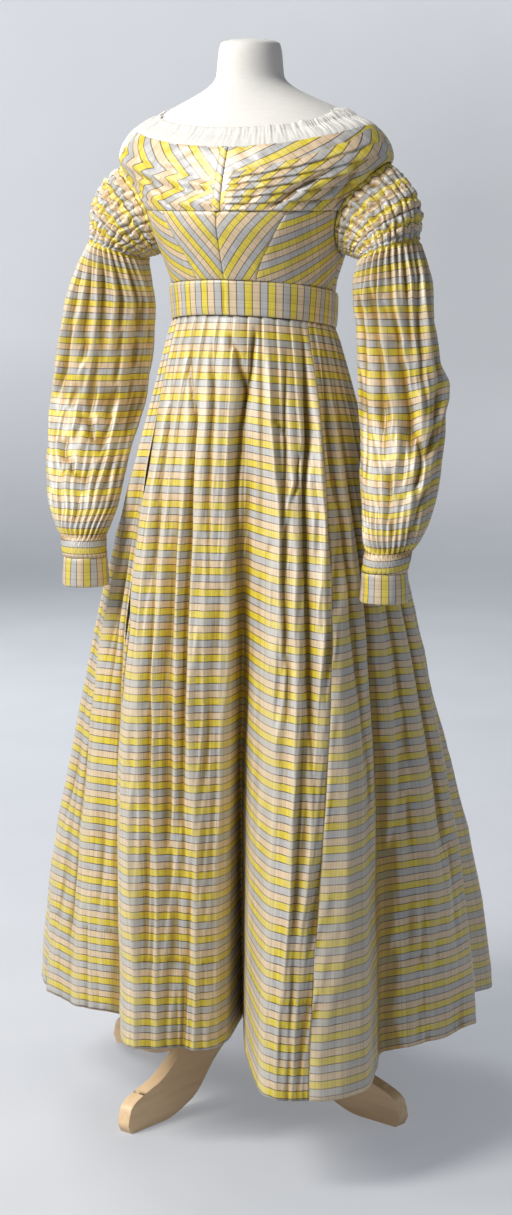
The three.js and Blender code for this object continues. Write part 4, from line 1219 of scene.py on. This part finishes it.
# %% Making a sleeve
def sleeve(side):
    wrist = WRIST[side]
    body = 1 - HEAD["share"]
    low, high = SLEEVE[0][0], SLEEVE[-1][0]
    width, head_length = 0.40, 0.115

    def height(t):
        return lerp(low, high, min(t / body, 1.0))

    def place(s, t):
        degrees = round(360 * (s % 1.0), 4)
        if t <= body:
            p = sleeve_point(round(height(t), 4), degrees, wrist)
        else:
            p = head_point((1 - t) / HEAD["share"], degrees, wrist)
        return Vector((side * p.x, p.y, p.z))

    def cell(s, row, columns):
        """A rounded puff, 1 at its middle and 0 in the stitched creases round it."""
        x, y = math.pi * s * columns, math.pi * row
        return max(abs(math.cos(x) * math.cos(y)), abs(math.sin(x) * math.sin(y))) ** 0.6

    def relief(s, t):
        s = s % 1.0
        degrees = 360 * s
        if t > body:
            up = (t - body) / HEAD["share"]
            row = up * SMOCK["rows"]
            turned = on_ring(s)
            wander = noise.noise(turned * 7 + Vector((0, 0, row * 0.8 + side))) * SMOCK["wander"]
            uneven = 0.55 + 0.9 * chance(round(s * SMOCK["columns"] * 2), round(row * 2) + 40 * side)
            cords = abs(math.cos(math.pi * (s * SMOCK["columns"] + wander))) ** 0.8
            puffs = cell(s + wander / SMOCK["columns"], row + 0.25 * wander, SMOCK["columns"])
            edge = smooth(up, 0.0, 0.05) * (1 - 0.7 * smooth(up, 0.93, 1.0))
            stitched = -0.30 * math.exp(-(((row % 1.0 - 0.5) / 0.12) ** 2))
            return SMOCK["raise"] * (uneven * (0.26 * puffs + 0.84 * cords) - 0.55 + stitched) * edge
        z = height(t)
        pleats = math.cos(math.tau * SMOCK["columns"] * s)
        below = BELOW_SMOCK["pleats"] * smooth(z, 1040, 1160) * (1 - smooth(z, 1168, 1172)) * pleats
        half = math.cos(math.pi * SMOCK["columns"] * s + 0.8)
        below += BELOW_SMOCK["half_pleats"] * smooth(z, 900, 1110) * (1 - smooth(z, 1120, 1172)) * half
        near = 1 - smooth(z, 786, 880)
        wrist_pleats = math.cos(math.tau * WRIST_ROWS["columns"] * s)
        above = WRIST_ROWS["raise"] * near * smooth(z, 784, 796) * wrist_pleats
        if z < WRIST_ROWS["high"]:
            row = (z - low) / WRIST_ROWS["apart"]
            shirred = cell(s, row, WRIST_ROWS["columns"]) - 0.5
            above += WRIST_ROWS["raise"] * shirred * (1 - smooth(z, 784, 790)) * smooth(z, 761, 764)
        folds = SLEEVE_FOLDS[side] * crease_depth(SLEEVE_CREASES[side], z, degrees)
        full = smooth(z, 800, 880) * (1 - smooth(z, 1100, 1168))
        turned = on_ring(s)
        soft = 0.3 - abs(noise.noise(turned * 2.3 + Vector((0, 0, z * 0.006 + side))))
        small = 0.25 - abs(noise.noise(turned * 4.2 + Vector((z * 0.008, 0, z * 0.016 + 3 * side))))
        return below + above + folds + (soft * SLEEVE_FOLDS["soft"] + small * SLEEVE_FOLDS["small"]) * full

    def fabric(s, t):
        if t <= body:
            z = height(t)
            down = (high - z) * MM * EASE["sleeve"]
            if side > 0:  # below the elbow this sleeve is twisted, so its stripes rise outwards
                twisted = smooth(z, 1090, 960) * (1 - 0.6 * smooth(z, 860, 800))
                down -= 0.016 * twisted * math.sin(math.radians(360 * s - 96))
        else:
            down = -(t - body) / HEAD["share"] * head_length
            x, y = math.pi * s * SMOCK["columns"], math.pi * (t - body) / HEAD["share"] * SMOCK["rows"]
            down += 0.0034 * math.cos(x) * math.cos(y) * (0.4 + 1.2 * chance(round(s * 60), round(y)))
        return s * width, 0.006 - down

    name = "left" if side > 0 else "right"
    piece = lay_cloth(f"silk_sleeve_{name}", *SLEEVE_GRID, place, fabric, relief,
                      round_it=True, round_pole=False)
    finish_piece(piece, taffeta, "silk_stripe", f"sleeve_{name}")


for side in (1, -1):
    sleeve(side)

# %% [markdown]
# ## Tucker
#
# A strip of cotton net is gathered into the neck. Its drawn-up edge stands in small
# frills, longer and looser over the shoulders.

# %% The form's sections, and the net frill
FORM = [  # height, half width, depth in front, depth behind, step forward
    (900, 118, 84, 98, 0), (906, 128, 92, 106, 0), (940, 130, 94, 106, 0), (990, 123, 90, 99, 0),
    (1035, 109, 83, 84, 0), (1070, 106, 83, 81, 0), (1120, 109.5, 88.5, 84.5, 0),
    (1150, 118.5, 99.5, 87.5, 0), (1180, 127, 110.5, 91.5, 0), (1205, 135, 117.5, 94.5, 0),
    (1230, 144, 116.5, 97.5, 0), (1255, 157, 110.5, 99.5, 0), (1280, 172, 101, 100, 0),
    (1300, 176, 90, 97, 0), (1322, 166, 76, 89, 0), (1340, 146, 67, 80, 0), (1356, 118, 60, 70, -2),
    (1370, 86, 53, 58, -6), (1384, 58, 47, 47, -10), (1396, 46, 43, 43, -12), (1430, 42, 42, 42, -12),
    (1438, 40, 40, 40, -12),
]
form_at = read_table(FORM)
TUCKER = {"high": 25, "shoulder": 0.62, "clear": 4, "lean": 1.6}


def form_point(degrees, z, grow=0.0):
    return around(form_at(z, 1), form_at(z, 2), form_at(z, 3), degrees, z, grow, form_at(z, 4))


def tucker_place(s, t):
    degrees = 360 * (s % 1.0)
    side_on = math.sin(math.radians(degrees)) ** 2
    low = neckline(degrees) - 2.0 * (1 - t)
    frill = smooth(side_on, 0.5, 1.0)
    spikes = noise.noise(on_ring(s, 34, 0.4))
    high = TUCKER["high"] * lerp(1, TUCKER["shoulder"], side_on) + frill * (3 + 9 * spikes)
    z = low + high * t
    base = bodice_point(degrees, low, -1.2)
    leaning = form_point(degrees, z, TUCKER["clear"])
    lean = min(1.0, t * TUCKER["lean"])
    return Vector((lerp(base.x, leaning.x, lean), lerp(base.y, leaning.y, lean), z))


def tucker_relief(s, t):
    side_on = math.sin(math.tau * s) ** 2
    turned = on_ring(s)
    wave = 2.0 * noise.noise(turned * 17 + Vector((0, 0, t * 0.8)))
    small = 2.0 * noise.noise(turned * 52 + Vector((0, 0, t * 1.5)))
    loose = lerp(0.7, 2.4, side_on)
    stitched = -0.7 * math.exp(-(((t - 0.70) / 0.05) ** 2))
    return t * loose * (1.2 * wave + 0.9 * small) + stitched + 0.3 * small * (1 - t)


tucker = lay_cloth("net_tucker", 900, 14, tucker_place, lambda s, t: (s * 1.15, t * 0.028),
                   tucker_relief, round_it=True, wall=0.5)
finish_piece(tucker, net, "net_frill", "tucker")

# %% [markdown]
# ## Form and stand
#
# The form is a padded body under stretched cotton, made as one closed shape from its
# sections. The stand is beech: a turned pole and hub, and four legs sawn from planks with
# their edges rounded over.

# %% The padded form
FORM_LOW, FORM_HIGH, CROWN = FORM[0][0], FORM[-1][0], 8
FORM_RINGS = [(FORM_LOW, k / 4) for k in range(4)]  # height, share of the section's size
FORM_RINGS += [(FORM_LOW + (FORM_HIGH - FORM_LOW) * k / 90, 1.0) for k in range(91)]
FORM_RINGS += [(FORM_HIGH + CROWN * math.sin(math.radians(10 * k)), math.cos(math.radians(10 * k)) ** 0.7)
               for k in range(1, 10)]


def form_place(s, t):
    z, share = FORM_RINGS[round(t * (len(FORM_RINGS) - 1))]
    degrees = 360 * (s % 1.0)
    side, front, back, shift = (form_at(min(z, FORM_HIGH), column) for column in (1, 2, 3, 4))
    return around(side * share, front * share, back * share, degrees, z, 0.0, shift)


form = lay_cloth("padded_form", 120, len(FORM_RINGS) - 1, form_place,
                 lambda s, t: (s * 0.9, t * 0.6), round_it=True, wall=None)
finish_piece(form, cotton, "form_cover", "dress_form")


# %% Turned and sawn beech
def beech_piece(name, mesh, along, node, move=Matrix.Identity(4)):
    """Finishes a wooden piece; the grain runs along its own axis before it is placed."""
    data_piece = made(name, mesh)
    marks = data_piece.data.attributes.new("grain", "FLOAT_VECTOR", "POINT")
    for vert, mark in zip(data_piece.data.vertices, marks.data):
        mark.vector = [vert.co[i] for i in along]
    data_piece.data.transform(move)
    finish_piece(data_piece, beech, "beech", node)


def turned(name, radius, low, high, round_over):
    mesh = bmesh.new()
    bmesh.ops.create_cone(mesh, cap_ends=True, segments=72, radius1=radius * MM,
                          radius2=radius * MM, depth=(high - low) * MM)
    rims = [e for e in mesh.edges if abs(e.verts[0].co.z - e.verts[1].co.z) < 1e-6]
    bmesh.ops.bevel(mesh, geom=rims, offset=round_over * MM, offset_type="OFFSET", segments=4,
                    profile=0.5, affect="EDGES", material=-1)
    bmesh.ops.translate(mesh, verts=mesh.verts, vec=POLE + Vector((0, 0, (low + high) / 2 * MM)))
    beech_piece(name, mesh, (2, 0, 1), name.replace("beech_", ""))


turned("beech_pole", 14, 190.3, 899.7, 1.2)
turned("beech_hub", 22, 105, 190, 4)

LEG = {"inner": 22.3, "outer": 262, "thick": 20, "rounded": 3.2, "first": -17, "count": 4}
LEG_TOP = read_table([  # distance from the pole, height
    (22.3, 180), (70, 158), (120, 125), (171, 80), (207, 57), (243, 46), (262, 34), (268, 12),
])
LEG_FOOT = read_table([(22.3, 115), (92, 64), (140, 17), (200, 0), (262, 0)])
TOP_STEPS = [LEG["inner"] + 8 * k for k in range(28)] + [246, 253, 258, 262, 265, 267, 268]
FOOT_STEPS = [LEG["outer"], 240, 220, 200] + [190 - 8.4 * k for k in range(20)] + [LEG["inner"]]


def leg(number):
    mesh = bmesh.new()
    edge = [(r, LEG_TOP(r, 1)) for r in TOP_STEPS] + [(r, LEG_FOOT(r, 1)) for r in FOOT_STEPS]
    outline = [mesh.verts.new((r * MM, -LEG["thick"] / 2 * MM, z * MM)) for r, z in edge]
    face = bmesh.ops.contextual_create(mesh, geom=outline)["faces"][0]
    grown = bmesh.ops.extrude_face_region(mesh, geom=[face])
    moved_verts = [g for g in grown["geom"] if isinstance(g, bmesh.types.BMVert)]
    bmesh.ops.translate(mesh, verts=moved_verts, vec=(0, LEG["thick"] * MM, 0))
    bmesh.ops.recalc_face_normals(mesh, faces=mesh.faces)
    rims = [e for e in mesh.edges if abs(e.verts[0].co.y - e.verts[1].co.y) < 1e-6
            and max(v.co.x for v in e.verts) > 0.03]
    bmesh.ops.bevel(mesh, geom=rims, offset=LEG["rounded"] * MM, offset_type="OFFSET", segments=4,
                    profile=0.5, affect="EDGES", clamp_overlap=True, material=-1)
    bmesh.ops.triangulate(mesh, faces=[f for f in mesh.faces if len(f.verts) > 4])
    angle = math.radians(LEG["first"] - 90 + 360 * (number - 1) / LEG["count"])
    move = Matrix.Translation(POLE) @ Matrix.Rotation(angle, 4, "Z")
    beech_piece(f"beech_leg_{number}", mesh, (0, 1, 2), f"leg_{number}", move)


for number in range(1, LEG["count"] + 1):
    leg(number)

# %% Cloth used: each piece's own area, and the area its map takes from the cloth
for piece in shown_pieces():
    layer = piece.data.uv_layers.get("cloth")
    if layer:
        own = sum(f.area for f in piece.data.polygons)
        used = 0.0
        for face in piece.data.polygons:
            corners = [layer.data[i].uv for i in face.loop_indices]
            used += abs(sum(a.cross(b) for a, b in zip(corners, corners[1:] + corners[:1]))) / 2
        print(f"{piece.name}: own {own:.4f}, cloth {used:.4f} square metres")
